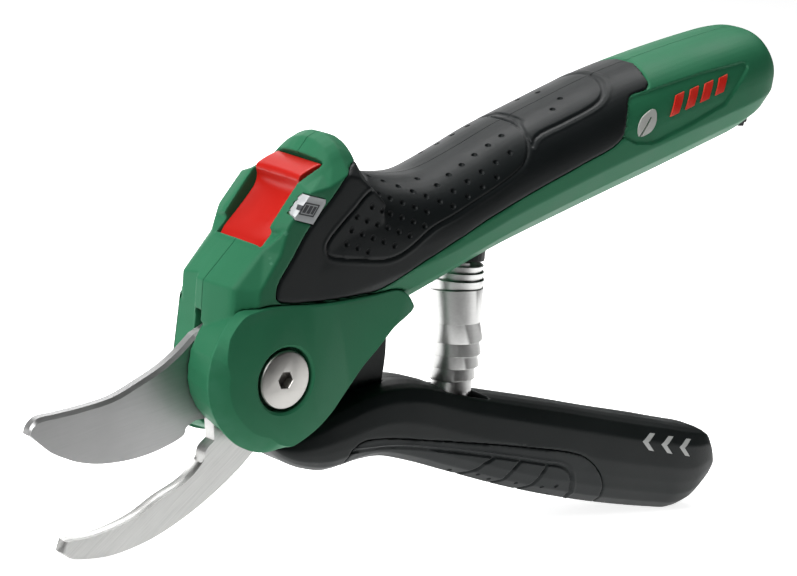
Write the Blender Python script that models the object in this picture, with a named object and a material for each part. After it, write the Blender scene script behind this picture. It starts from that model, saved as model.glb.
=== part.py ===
"""Battery electric pruner: a powered bypass pruner with a lithium cell, a motor and a planetary gearbox in its
upper handle, a fixed hook, and a lever that carries the cutting blade and the lower handle.

The side view is drawn in X (towards the handle ends) and Z (up), in millimetres from the pivot axis, which runs
along Y. The right half of each pair lies at -Y. The tool stands on its hook and on the lower handle's belly.
"""

import math

import bmesh
import bpy
from mathutils import Vector

MM = 0.001

# Driving dimensions, in millimetres.
GAP = 0.3  # running and seating clearance
WALL = 2.0  # plastic walls
GRIP_THICK = 2.0  # soft grip over the shells

BLADE_TIP_X = -64.6
HANDLE_END_X = 165.4
LEVER_END_X = 165.8
FOOT_Z = -45.4  # lowest line of the hook and of the lower handle

HANDLE_HALF_WIDTH = 16.5
HEAD_HALF_WIDTH = 14.3
COVER_HALF_WIDTH = 15.0
SHELL_SIDE = 11.0  # where the pivot covers sit on the shells
LEVER_HALF_WIDTH = 12.0
LEVER_INSERT_THICK = 1.6

HOOK_THICK = 3.85
BLADE_THICK = 3.0
FIN_THICK = 2.4
SECTOR_THICK = 3.4

BOLT_RADIUS = 4.0
BOLT_HEAD_RADIUS = 7.5
BOLT_HEAD_THICK = 3.5
BOLT_SOCKET = 4.0  # across flats
BUSH_RADIUS = 6.0
PIVOT_EYE_RADIUS = 13.5

SECTOR_MODULE = 1.25
SECTOR_TEETH = 56  # on a whole circle
PINION_TEETH = 10
CROSS_ANGLE = math.radians(44.4)  # of the cross shaft as seen from the pivot
CROSS_SHAFT_RADIUS = 2.5
CROSS_SHAFT_HALF = 12.0
CROWN_MODULE = 1.0
CROWN_TEETH = 22
CROWN_DRIVER_TEETH = 8
CROWN_FACE = 5.0

DRIVE_TILT = math.radians(23.3)
GEAR_MODULE = 0.45
SUN_TEETH = 12
PLANET_TEETH = 12
RING_TEETH = 36
PLANETS = 3
GEARBOX_RADIUS = 10.0
GEARBOX_START = 15.5  # along the drive axis from the cross shaft
GEARBOX_LENGTH = 15.0
MOTOR_RADIUS = 9.8
MOTOR_LENGTH = 26.0
MOTOR_WALL = 1.6
ROTOR_RADIUS = 6.8
MOTOR_SHAFT_RADIUS = 1.0

CELL_TILT = math.radians(18.7)
CELL_RADIUS = 9.15
CELL_LENGTH = 65.0
CELL_START = (90.0, 54.7)

SLIDER_HALF_WIDTH = 8.7
SLIDER_TRAVEL = (-2.52, -3.73)  # of the lock slider, to its locked end
SPRING_TOP_Z = 26.0
SPRING_FOOT_Z = -13.0
SPRING_X = 67.0
SPRING_CUP_RADIUS = 5.6
CARRIER_SHAFT_RADIUS = 1.7
PLANET_PIN_RADIUS = 0.8
BUSH_OUTER = 4.2
CLUTCH_OUTER = 4.6
PIN_RADIUS = 1.5
PIN_DEPTH = 9.0
HOOK_PINS = [(-9.0, 0.0, 8.0), (-9.4, 0.0, -9.0)]
RIVETS = [(20.0, -11.5), (30.0, -14.6)]
RIVET_RADIUS = 1.6
LEVER_SCREWS = [(47.0, -8.6, 9.0), (100.0, -20.3, 10.8), (148.0, -33.0, 11.0)]
SECTOR_FIRST, SECTOR_LAST = -6, 2  # teeth below and above the line of centres at rest
WINDOW = [(0.0, 46.6), (6.1, 45.4), (6.2, 44.3), (3.0, 39.2), (-3.4, 40.5), (-3.8, 41.7)]
WINDOW_OUTER, WINDOW_INNER = 14.3, 12.8
SOCKET_X, SOCKET_Z = 158.4, 70.0  # middle of the charging socket
SOCKET_SIZE = (3.2, 9.0, 5.6)
PORT_SIZE = (4.6, 10.2, 3.3)
PORT_Z = 65.2
SCREW_RADIUS = 1.3
SCREW_HEAD_RADIUS = 2.6

# Levels of the pivot stack along Y, from the cutting plane at Y = 0.
HOOK_Y = (-GAP / 2 - HOOK_THICK, -GAP / 2)
BLADE_Y = (GAP / 2, GAP / 2 + BLADE_THICK)
FIN_Y = (-GAP / 2 - FIN_THICK, -GAP / 2)
SECTOR_Y = (BLADE_Y[1] + GAP, BLADE_Y[1] + GAP + SECTOR_THICK)

SECTOR_RADIUS = SECTOR_MODULE * SECTOR_TEETH / 2
PINION_RADIUS = SECTOR_MODULE * PINION_TEETH / 2
CROSS_RADIUS = SECTOR_RADIUS + PINION_RADIUS
CROSS_X = CROSS_RADIUS * math.cos(CROSS_ANGLE)
CROSS_Z = CROSS_RADIUS * math.sin(CROSS_ANGLE)
CROWN_RADIUS = CROWN_MODULE * CROWN_TEETH / 2
CROWN_OUTER = CROWN_RADIUS + CROWN_FACE / 2
CROWN_PITCH_Y = -CROWN_MODULE * CROWN_DRIVER_TEETH / 2
MOTOR_START = GEARBOX_START + GEARBOX_LENGTH + GAP
NUT_Y = (SHELL_SIDE + 1.4, SHELL_SIDE + 3.8)
PIVOT_X = -(BLADE_TIP_X + LEVER_END_X) / 2
PIVOT_Z = -FOOT_Z

# Side outlines, X and Z.
COVER = [
    (-4.0, 19.0), (-7.6, 18.8), (-11.9, 18.0), (-15.2, 16.8), (-17.6, 14.4), (-19.8, 10.5), (-21.6, 5.8),
    (-22.0, 1.0), (-21.6, -3.0), (-20.1, -7.1), (-17.6, -10.9), (-14.1, -14.3), (-9.7, -17.2), (-3.6, -19.0),
    (1.4, -18.7), (6.2, -16.9), (11.8, -13.5), (16.3, -9.2), (20.6, -3.2), (24.9, 2.4), (29.5, 6.8),
    (34.5, 12.0), (40.4, 17.0), (39.4, 18.9), (37.7, 20.6), (34.3, 21.8), (25.9, 20.9), (10.7, 19.2),
]
BLADE_BACK = [
    (-18.3, 8.6), (-22.5, 4.4), (-27.0, 0.9), (-33.9, -3.0), (-40.8, -6.3), (-50.2, -8.5), (-56.8, -9.6),
    (-62.4, -10.6), (-64.2, -12.6), (BLADE_TIP_X, -14.5),
]
BLADE_EDGE = [
    (-61.1, -16.8), (-57.5, -19.1), (-53.4, -20.7), (-49.4, -21.9), (-43.5, -22.7), (-37.6, -22.6),
    (-31.3, -21.8), (-24.1, -19.8), (-18.0, -16.7), (-17.7, -15.2), (-16.6, -14.2), (-15.0, -13.2),
]
HOOK_TOP = [
    (-11.5, -17.6), (-13.7, -19.8), (-14.1, -22.5), (-16.2, -25.3), (-19.4, -28.0), (-26.4, -31.7),
    (-32.4, -35.5), (-39.4, -38.3), (-46.5, -40.0), (-52.8, -40.5),
]
HOOK_BELLY = [
    (-53.5, -43.6), (-51.6, -44.8), (-45.8, FOOT_Z), (-38.5, -45.0), (-28.9, -42.4), (-21.9, -39.2),
    (-14.8, -35.0), (-7.9, -30.0), (-2.4, -25.3),
]
HOOK_ROOT = [(3.0, -19.5), (9.0, -11.0), (13.3, -3.0), (12.0, 6.0), (5.0, 12.5), (-4.0, 13.3), (-12.0, 9.0),
             (-14.3, 0.0), (-13.3, -9.0)]
TANG = [(-6.0, -12.4), (2.0, -13.6), (22.0, -19.5), (50.0, -19.5), (88.0, -27.5), (92.0, -26.0), (91.0, -22.5),
        (52.0, -14.5), (30.0, -11.0), (13.5, -3.0)]
FIN = [(15.0, -14.0), (24.0, -17.0), (38.5, -17.5)]
FIN_RADIUS = 42.4
FIN_INNER_RADIUS = 15.2
FIN_STEP_ANGLE = math.radians(15.0)
FIN_TOP_ANGLE = math.radians(34.0)
FIN_TOP_RADIUS = 36.0
HEAD = [
    (-17.2, 11.9), (-17.4, 22.6), (-9.6, 32.0), (-6.0, 39.0), (0.6, 49.6), (7.5, 55.2), (10.0, 58.4), (13.0, 59.4),
    (17.0, 58.2), (20.5, 53.0), (26.0, 44.0), (24.0, 18.0), (-6.0, 14.0),
]
GRIP = [
    (19.6, 64.0), (19.3, 54.2), (15.4, 53.6), (11.9, 50.6), (8.7, 46.1), (2.0, 37.9), (-2.1, 30.3), (-5.9, 23.3), (-5.4, 20.6),
    (-3.6, 19.6), (10.7, 19.8), (20.9, 20.9), (26.0, 21.6), (30.8, 23.6), (36.4, 27.1), (49.3, 34.3), (62.4, 41.7),
    (76.0, 48.2), (89.8, 54.3), (102.4, 60.7), (104.6, 67.5), (106.6, 71.6), (113.4, 74.2), (114.8, 78.0),
    (119.5, 81.5), (119.5, 100.0), (20.0, 100.0),
]
INSERT = [
    (28.0, -23.6), (28.4, -21.0), (30.5, -19.2), (34.8, -18.3), (58.0, -20.0), (84.8, -22.9), (107.1, -26.3),
    (112.2, -28.7), (116.1, -32.0), (119.3, -37.3), (121.5, -47.0), (28.5, -40.0),
]
SLIDER = [
    (7.9, 53.2), (2.4, 50.2), (0.6, 44.4), (-3.2, 38.8), (-8.0, 32.6), (-9.4, 31.0), (-7.6, 29.4), (0.2, 38.2),
    (4.6, 43.6), (8.2, 48.2), (9.6, 51.4),
]

SLIDER_POCKET = [
    (8.0, 53.9), (-8.0, 66.0), (-30.0, 44.0), (-9.9, 31.9), (-12.9, 27.2), (-10.4, 24.6), (-4.0, 30.0),
    (10.4, 47.6), (10.6, 51.0),
]
HEAD_ROOM = [
    (-12.6, 20.5), (-8.2, 27.6), (-1.0, 35.6), (4.0, 42.0), (9.0, 49.5), (20.0, 46.0), (34.0, 44.0),
    (38.0, 30.0), (22.0, 22.0), (2.0, 19.0),
]
LOCK_BAR = [(-6.9, 29.4), (-2.6, 34.0), (-0.4, 33.0), (-2.4, 22.4), (-5.4, 22.4)]
LOCK_BAR_HALF = 2.0

# Stations along the handles: X, top Z, bottom Z, half width as a share of the widest section.
HANDLE_STATIONS = [
    (4.0, 45.0, 4.0, 0.86), (12.0, 51.0, 4.0, 0.88), (20.0, 51.6, 6.5, 0.90), (28.0, 49.6, 11.5, 0.92),
    (36.0, 49.1, 15.5, 0.94), (45.0, 50.0, 19.4, 0.96), (58.0, 55.4, 25.6, 0.99), (70.0, 61.4, 31.0, 1.0),
    (86.0, 68.2, 37.2, 1.0), (105.0, 75.8, 44.3, 1.0), (125.0, 82.1, 51.6, 0.99), (144.0, 87.2, 58.7, 0.96),
    (152.0, 89.0, 61.6, 0.92), (157.0, 89.2, 64.0, 0.86), (161.0, 86.4, 67.2, 0.74),
    (164.0, 83.0, 70.6, 0.56), (HANDLE_END_X, 79.6, 74.2, 0.36),
]
LEVER_STATIONS = [
    (6.0, -19.4, -20.8, 0.55), (9.0, -17.8, -23.2, 0.68), (13.0, -16.0, -25.2, 0.78), (18.0, -13.4, -26.5, 0.84),
    (23.0, -10.6, -27.0, 0.88), (28.0, -8.7, -26.2, 0.90), (33.0, -6.8, -25.0, 0.91), (41.0, -5.1, -24.2, 0.92),
    (51.0, -5.0, -26.0, 0.94), (65.5, -8.0, -29.8, 0.96), (85.5, -11.2, -35.0, 0.98), (104.0, -14.1, -39.0, 1.0),
    (123.0, -17.4, -42.3, 1.0), (143.0, -20.6, -44.9, 1.0), (149.0, -21.7, FOOT_Z, 0.98),
    (155.5, -22.8, -44.0, 0.92), (160.7, -24.0, -40.2, 0.80), (164.0, -29.0, -36.0, 0.66),
    (LEVER_END_X, -32.0, -34.0, 0.5),
]

COLOURS = {
    "green": ((0.035, 0.17, 0.085, 1.0), 0.45, 0.0),
    "black": ((0.016, 0.018, 0.019, 1.0), 0.55, 0.0),
    "rubber": ((0.012, 0.014, 0.015, 1.0), 0.8, 0.0),
    "red": ((0.75, 0.016, 0.01, 1.0), 0.35, 0.0),
    "steel": ((0.55, 0.55, 0.56, 1.0), 0.3, 1.0),
    "bright": ((0.72, 0.71, 0.69, 1.0), 0.18, 1.0),
    "brass": ((0.70, 0.52, 0.22, 1.0), 0.3, 1.0),
    "board": ((0.02, 0.12, 0.06, 1.0), 0.4, 0.0),
    "window": ((0.62, 0.64, 0.66, 1.0), 0.15, 0.0),
    "cell": ((0.10, 0.22, 0.50, 1.0), 0.4, 0.0),
    "white": ((0.70, 0.70, 0.66, 1.0), 0.5, 0.0),
}


def material(kind):
    found = bpy.data.materials.get(kind)
    if found:
        return found
    made = bpy.data.materials.new(kind)
    made.use_nodes = True
    colour, roughness, metallic = COLOURS[kind]
    shader = made.node_tree.nodes["Principled BSDF"]
    shader.inputs["Base Color"].default_value = colour
    shader.inputs["Roughness"].default_value = roughness
    shader.inputs["Metallic"].default_value = metallic
    return made


# Building blocks.


def mesh_object(name, bm, kind, parent, place=(0.0, 0.0, 0.0), turn=0.0):
    """An object from a bmesh in millimetres, placed under its parent and turned about Y by turn, X towards Z."""
    bmesh.ops.recalc_face_normals(bm, faces=bm.faces)
    bmesh.ops.scale(bm, vec=(MM, MM, MM), verts=bm.verts)
    mesh = bpy.data.meshes.new(name)
    bm.to_mesh(mesh)
    bm.free()
    made = bpy.data.objects.new(name, mesh)
    bpy.context.collection.objects.link(made)
    made.parent = parent
    made.location = Vector(place) * MM
    made.rotation_euler = (0.0, -turn, 0.0)
    if kind is None:
        made.hide_render = True
        made.display_type = "WIRE"
    else:
        mesh.materials.append(material(kind))
        mesh.shade_smooth()
        mesh.set_sharp_from_angle(angle=math.radians(35.0))
    return made


def skin(name, rings, kind, parent, closed=False, **placing):
    """A solid through rings of equally many points; the ends are capped, or joined when closed. Each side is
    split the same way, so that a form and its inset stay parallel."""
    bm = bmesh.new()
    loops = [[bm.verts.new(point) for point in ring] for ring in rings]
    spans = list(zip(loops, loops[1:]))
    if closed:
        spans.append((loops[-1], loops[0]))
    for first, second in spans:
        count = len(first)
        for k in range(count):
            after = (k + 1) % count
            bm.faces.new((first[k], first[after], second[after]))
            bm.faces.new((first[k], second[after], second[k]))
    if not closed:
        bm.faces.new(loops[0])
        bm.faces.new(loops[-1])
    return mesh_object(name, bm, kind, parent, **placing)


def prism(name, outline, levels, kind, parent, **placing):
    """A side outline in X and Z, extruded along Y between two levels."""
    rings = [[(x, y, z) for x, z in outline] for y in levels]
    return skin(name, rings, kind, parent, **placing)


def turned(name, profile, kind, parent, axis="X", closed=False, segments=24, **placing):
    """A solid of revolution from (radius, distance) pairs about the local X, Y or Z axis."""
    turns = [2 * math.pi * k / segments for k in range(segments)]
    rings = []
    for radius, along in profile:
        circle = [(radius * math.cos(t), radius * math.sin(t)) for t in turns]
        rings.append([on_axis(axis, u, v, along) for u, v in circle])
    return skin(name, rings, kind, parent, closed=closed, **placing)


def on_axis(axis, u, v, along):
    if axis == "X":
        return (along, u, v)
    if axis == "Y":
        return (u, along, v)
    return (u, v, along)


def tube_profile(inner, outer, start, end):
    return [(inner, start), (outer, start), (outer, end), (inner, end)]


def rod_profile(radius, start, end):
    return [(radius, start), (radius, end)]


def block(name, centre, size, kind, parent, **placing):
    x, y, z = (side / 2 for side in size)
    cx, cy, cz = centre
    rings = [[(cx - x, cy + v, cz + w) for v, w in ((-y, -z), (y, -z), (y, z), (-y, z))],
             [(cx + x, cy + v, cz + w) for v, w in ((-y, -z), (y, -z), (y, z), (-y, z))]]
    return skin(name, rings, kind, parent, **placing)


def combine(target, operation, *others):
    """Boolean steps; the lofted shells need the solver that keeps many crossing walls closed."""
    for other in others:
        step = target.modifiers.new(operation.lower(), "BOOLEAN")
        step.operation = operation
        step.solver = "MANIFOLD"
        step.object = other
    return target


def cut(target, *others):
    return combine(target, "DIFFERENCE", *others)


def add(target, *others):
    return combine(target, "UNION", *others)


def keep(target, other):
    return combine(target, "INTERSECT", other)


def arc(radius, start, end, steps, centre=(0.0, 0.0)):
    """Points on an arc about a centre, angles in radians from X towards Z."""
    turns = [start + (end - start) * k / steps for k in range(steps + 1)]
    return [(centre[0] + radius * math.cos(t), centre[1] + radius * math.sin(t)) for t in turns]


def grown(outline, by):
    """The outline moved outwards by a distance, each corner along its bisector."""
    area = sum(a[0] * b[1] - b[0] * a[1] for a, b in zip(outline, outline[1:] + outline[:1]))
    side = 1.0 if area > 0 else -1.0
    moved = []
    count = len(outline)
    for k, point in enumerate(outline):
        before = Vector(point) - Vector(outline[k - 1])
        after = Vector(outline[(k + 1) % count]) - Vector(point)
        bisector = (before.normalized() + after.normalized()).normalized()
        out = Vector((bisector.y, -bisector.x)) * side
        stretch = max(0.5, out.dot(Vector((after.y, -after.x)).normalized() * side))
        moved.append(tuple(Vector(point) + out * by / stretch))
    return moved


def gear_points(teeth, module, phase, internal=False):
    """One closed outline of straight-sided teeth with backlash, with a tooth centred on the phase angle.
    An internal gear's outline is its hole, with a tooth pointing inwards at the phase."""
    pitch = 2 * math.pi / teeth
    radius = module * teeth / 2
    tip, root = radius + module, radius - 1.25 * module
    if internal:
        tip, root = radius - module, radius + 1.25 * module
    points = []
    for k in range(teeth):
        centre = phase + k * pitch
        for share, at in ((-0.27, root), (-0.11, tip), (0.11, tip), (0.27, root)):
            points.append((at * math.cos(centre + share * pitch), at * math.sin(centre + share * pitch)))
    return points


def gear(name, points, axis, levels, bore, kind, parent, **placing):
    rings = [[on_axis(axis, u, v, along) for u, v in points] for along in levels]
    made = skin(name, rings, kind, parent, **placing)
    hole = turned(name + "_bore", rod_profile(bore, levels[0] - 1, levels[1] + 1), None, parent, axis=axis,
                  segments=16, **placing)
    return cut(made, hole)


# Sections of the two handles.


def handle_section(x, top, bottom, half, inset):
    """A rounded top and sides over a faceted belly, drawn as a loop in the plane of one X."""
    top, bottom, half = top - inset, bottom + inset, half - inset
    tall = top - bottom
    middle = bottom + 0.52 * tall
    points = []
    for k in range(13):
        t = math.pi * k / 12
        reach, rise = math.cos(t), math.sin(t)
        y = half * math.copysign(abs(reach) ** 0.8, reach)
        points.append((x, y, middle + (top - middle) * rise ** 0.9))
    belly = [(-0.985, 0.34), (-0.80, 0.15), (-0.48, 0.0), (0.48, 0.0), (0.80, 0.15), (0.985, 0.34)]
    points += [(x, share * half, bottom + rise * tall) for share, rise in belly]
    return points


def handle_skin(name, inset, start, end, parent):
    """The upper handle's form, inset by a wall, between two X places."""
    rings = []
    for x, top, bottom, share in HANDLE_STATIONS:
        if start <= x <= end:
            rings.append(handle_section(x, top, bottom, share * HANDLE_HALF_WIDTH, inset))
    return skin(name, rings, None, parent)


def lever_section(x, top, bottom, half, inset):
    top, bottom, half = top - inset, bottom + inset, max(half - inset, 1.0)
    if top - bottom < 0.6:
        middle = (top + bottom) / 2
        top, bottom = middle + 0.3, middle - 0.3
    tall = top - bottom
    side = [(0.30, 1.0), (0.74, 0.97), (0.93, 0.80), (1.0, 0.52), (0.93, 0.22), (0.52, 0.0)]
    left = [(x, share * half, bottom + rise * tall) for share, rise in side]
    return left + [(x, -y, z) for _, y, z in reversed(left)]


def lever_skin(name, inset, parent):
    rings = [lever_section(x, top, bottom, share * LEVER_HALF_WIDTH, inset)
             for x, top, bottom, share in LEVER_STATIONS]
    return skin(name, rings, None, parent)


def head_rings(inset):
    """The head's side outline at steps across Y: full at the parting line, drawn in towards the sides."""
    steps = [(0.0, 0.0, 0.0), (0.36, 0.6, 0.7), (0.62, 1.0, 2.6), (0.74, 1.5, 4.0), (1.0, 6.5, 8.0)]
    outline = grown(HEAD, -inset) if inset else HEAD
    half = HEAD_HALF_WIDTH - inset
    rings = []
    for share, front, roof in [(-s, f, r) for s, f, r in reversed(steps)] + steps[1:]:
        ring = []
        for (x, z), (true_x, true_z) in zip(outline, HEAD):
            low = max(0.25, min(1.0, (40.0 - true_z) / 14.0))
            moved_x = x + front * low * max(0.0, min(1.0, (5.0 - true_x) / 12.0))
            moved_z = z - roof * max(0.0, min(1.0, (true_z - 46.0) / 12.0))
            ring.append((moved_x, share * half, moved_z))
        rings.append(ring)
    return rings


def upper_form(name, inset, head_inset, root):
    """Head and upper handle as one closed form, each inset by a thickness."""
    form = handle_skin(name, inset, 0.0, 200.0 if inset == 0.0 else 150.0, root)
    return add(form, skin(name + "_head", head_rings(head_inset), None, root))


# Housing.

SCREWS = [(13.0, 54.6, 8.5), (-10.6, 17.0, 10.5), (47.5, 24.0, 13.0), (88.0, 41.6, 13.0), (134.0, 57.8, 12.0),
          (159.0, 76.0, 9.5)]  # X, Z and the outer end of each head, on the far side
SCREW_REACH = 7.5  # into the near shell


def drive_place(root):
    return {"parent": root, "place": (CROSS_X, 0.0, CROSS_Z), "turn": DRIVE_TILT}


def cell_place(root):
    return {"parent": root, "place": (CELL_START[0], 0.0, CELL_START[1]), "turn": CELL_TILT}


def screw_tools(root):
    """Bosses, clearance holes and head seats of the housing screws."""
    bosses, holes = [], []
    for k, (x, z, outer) in enumerate(SCREWS, 1):
        place = (x, 0.0, z)
        bosses.append(turned(f"boss_{k}", rod_profile(SCREW_HEAD_RADIUS + 0.9, -outer, outer - 1.0), None, root,
                             axis="Y", segments=12, place=place))
        seat = outer - 3.0
        profile = [(SCREW_RADIUS + GAP, -SCREW_REACH - GAP), (SCREW_RADIUS + GAP, seat),
                   (SCREW_HEAD_RADIUS + GAP, seat), (SCREW_HEAD_RADIUS + GAP, 30.0)]
        holes.append(turned(f"screw_hole_{k}", profile, None, root, axis="Y", segments=12, place=place))
    return bosses, holes


def cradle_ribs(root):
    """Ribs across the hollow that carry the motor and the cell, ending inside the handle's wall."""
    ribs = block("ribs", (MOTOR_START + 3.4, 0, 0), (1.8, 40, 40), None, **drive_place(root))
    for k, along in enumerate((MOTOR_START + MOTOR_LENGTH - 4.0, GEARBOX_START + 4.4)):
        add(ribs, block(f"rib_drive_{k}", (along, 0, 0), (1.8, 40, 40), None, **drive_place(root)))
    for k, along in enumerate((8.0, CELL_LENGTH / 2, CELL_LENGTH - 8.0)):
        add(ribs, block(f"rib_cell_{k}", (along, 0, 0), (1.8, 40, 40), None, **cell_place(root)))
    return keep(ribs, handle_skin("rib_limit", GRIP_THICK + GAP + WALL / 2, 0.0, 160.0, root))


def pocket_tools(root):
    """What the shells leave free: slots at the pivot, the drive's room, the slider's pocket, cells and gears."""
    blade_sweep = [(-34.0, 14.9), (-34.0, -40.0), (50.0, -40.0), (50.0, -8.0), (43.5, 14.0)]
    blade_sweep += arc(39.0, math.radians(28.0), math.radians(78.0), 8)
    blade_sweep += [(3.0, 17.0), (-6.0, 14.9)]
    lever_sweep = [(13.0, -30.0), (50.0, -30.0), (50.0, -2.0)]
    lever_sweep += arc(FIN_RADIUS + 1.2, 0.0, math.radians(44.0), 8)
    lever_sweep += arc(SECTOR_RADIUS + SECTOR_MODULE + 1.2, math.radians(46.0), math.radians(88.0), 6)
    lever_sweep += arc(PIVOT_EYE_RADIUS + 0.9, math.radians(84.0), math.radians(-60.0), 10)
    side = SLIDER_HALF_WIDTH + GAP
    hook_root = HOOK_TOP[:3] + HOOK_BELLY[-3:] + HOOK_ROOT
    window = grown(WINDOW, GAP)
    moved = [(x + SLIDER_TRAVEL[0], z + SLIDER_TRAVEL[1]) for x, z in LOCK_BAR]
    bar_sweep = [LOCK_BAR[1], LOCK_BAR[2], LOCK_BAR[3], moved[3], moved[4], moved[0], LOCK_BAR[0]]
    return [
        turned("drive_room", rod_profile(CROWN_OUTER + 1.0, -9.2, 9.2), None, root, axis="Y",
               place=(CROSS_X, 0.0, CROSS_Z)),
        prism("head_room", HEAD_ROOM, (-10.9, 10.9), None, root),
        prism("slider_pocket", SLIDER_POCKET, (-side, side), None, root),
        prism("lock_bar_room", grown(bar_sweep, 2 * GAP), (-LOCK_BAR_HALF - GAP, LOCK_BAR_HALF + GAP), None, root),
        prism("hook_pocket", grown(hook_root, GAP), (HOOK_Y[0] - GAP, 1.0), None, root),
        prism("blade_slot", blade_sweep, (0.05, BLADE_Y[1] + GAP), None, root),
        prism("lever_room", lever_sweep, (FIN_Y[0] - GAP, SECTOR_Y[1] + GAP), None, root),
        turned("bolt_bore", rod_profile(BOLT_RADIUS + GAP, -30, 30), None, root, axis="Y"),
        prism("window_seat", window, (-30.0, -WINDOW_INNER + 2.2), None, root),
        turned("motor_seat", rod_profile(MOTOR_RADIUS + GAP, MOTOR_START - 1, MOTOR_START + MOTOR_LENGTH + 6),
               None, **drive_place(root)),
        turned("gearbox_seat", rod_profile(GEARBOX_RADIUS + GAP, GEARBOX_START - 4, MOTOR_START), None,
               **drive_place(root)),
        turned("cell_seat", rod_profile(CELL_RADIUS + GAP, -3.0, CELL_LENGTH + 2.5), None, **cell_place(root)),
        turned("bush_seats", rod_profile(BUSH_OUTER + GAP, -CROSS_SHAFT_HALF - GAP, CROSS_SHAFT_HALF + GAP), None,
               root, axis="Y", place=(CROSS_X, 0.0, CROSS_Z), segments=16),
        turned("spring_cup_seat", rod_profile(SPRING_CUP_RADIUS + GAP, 10.0, SPRING_TOP_Z + 4.6), None, root,
               axis="Z", place=(SPRING_X, 0.0, 0.0)),
        block("socket_seat", (SOCKET_X, 0.0, SOCKET_Z), [side + 2 * GAP for side in SOCKET_SIZE], None, root),
        block("socket_mouth", (SOCKET_X, 0.0, PORT_Z - 5.0),
              (PORT_SIZE[0] + 2 * GAP, PORT_SIZE[1] + 2 * GAP, PORT_SIZE[2] + 10.0 + 2 * GAP), None, root),
        turned("pin_hole_1", rod_profile(PIN_RADIUS + GAP, -PIN_DEPTH - GAP, 0.0), None, root, axis="Y",
               place=HOOK_PINS[0], segments=12),
        turned("pin_hole_2", rod_profile(PIN_RADIUS + GAP, -PIN_DEPTH - GAP, 0.0), None, root, axis="Y",
               place=HOOK_PINS[1], segments=12),
    ]


def housing(root):
    """The two green shells, hollowed, ribbed and screwed together from the far side."""
    body = upper_form("housing_form", 0.0, 0.0, root)
    cut(body, prism("grip_recess", grown(GRIP, GAP), (-30.0, 30.0), None, root))
    core = upper_form("housing_core", GRIP_THICK + GAP, GRIP_THICK + GAP, root)
    plates = skin("pivot_plates", [[(x, y, z) for x, z in grown(COVER, by)]
                                   for y, by in ((-SHELL_SIDE, -0.4), (0.0, -2.4), (SHELL_SIDE, -0.4))], None, root)
    hollow = handle_skin("handle_hollow", GRIP_THICK + GAP + WALL, 34.0, 160.0, root)
    add(body, core, plates)
    cut(body, hollow)
    for side in (-1, 1):
        levels = sorted((side * SHELL_SIDE, side * 30.0))
        cut(body, prism(f"cover_recess_{side}", grown(COVER, GAP), levels, None, root))
    bosses, holes = screw_tools(root)
    inside = handle_skin("boss_limit", 1.0, 0.0, 200.0, root)
    add(inside, skin("boss_limit_head", head_rings(1.0), None, root))
    for boss in bosses:
        keep(boss, inside)
    add(body, cradle_ribs(root), *bosses)
    cut(body, *pocket_tools(root), *holes)
    for name, low, high in (("housing_left", GAP / 2, 40.0), ("housing_right", -40.0, -GAP / 2)):
        shell = block(name, (50.0, (low + high) / 2, 30.0), (300.0, high - low, 300.0), "green", root)
        keep(shell, body)


def grips(root):
    for name, low, high in (("grip_left", GAP / 2, 40.0), ("grip_right", -40.0, -GAP / 2)):
        grip = prism(name, GRIP, (low, high), "black", root)
        keep(grip, upper_form(name + "_form", 0.0, 0.0, root))
        cut(grip, upper_form(name + "_inner", GRIP_THICK, GRIP_THICK - 2 * GAP, root))


def pivot_covers(root):
    """Raised covers over the pivot, with a wide chamfer at the lower front and a round recess for the bolt."""
    for name, side in (("pivot_cover_left", 1), ("pivot_cover_right", -1)):
        rings = []
        for level, small, wide in ((SHELL_SIDE + GAP, 0.0, 0.0), (12.2, 0.0, 0.0), (COVER_HALF_WIDTH, 0.7, 4.6)):
            ring = []
            for x, z in COVER:
                angle = math.degrees(math.atan2(z, x)) % 360
                near_front = max(0.0, min(1.0, (angle - 150.0) / 25.0, (285.0 - angle) / 25.0))
                pull = small + (wide - small) * near_front
                reach = math.hypot(x, z)
                ring.append((x - x / reach * pull, side * level, z - z / reach * pull))
            rings.append(ring)
        cover = skin(name, rings, "green", root)
        cut(cover, turned(name + "_recess", rod_profile(BOLT_HEAD_RADIUS + 1.1, -30, 30), None, root, axis="Y",
                          segments=32))


def slider(lock):
    """Red lock slider, ledge up, with its lock bar behind it."""
    prism("lock_slider", SLIDER, (-SLIDER_HALF_WIDTH, SLIDER_HALF_WIDTH), "red", lock)
    prism("lock_bar", LOCK_BAR, (-LOCK_BAR_HALF, LOCK_BAR_HALF), "steel", lock)


def screws(root):
    for k, (x, z, outer) in enumerate(SCREWS, 1):
        seat = outer - 3.0 + GAP
        profile = [(SCREW_RADIUS, -SCREW_REACH), (SCREW_RADIUS, seat), (SCREW_HEAD_RADIUS, seat),
                   (SCREW_HEAD_RADIUS, seat + 2.0)]
        turned(f"housing_screw_{k}", profile, "steel", root, axis="Y", segments=12, place=(x, 0.0, z))


# Pivot and cutting parts.


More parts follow.
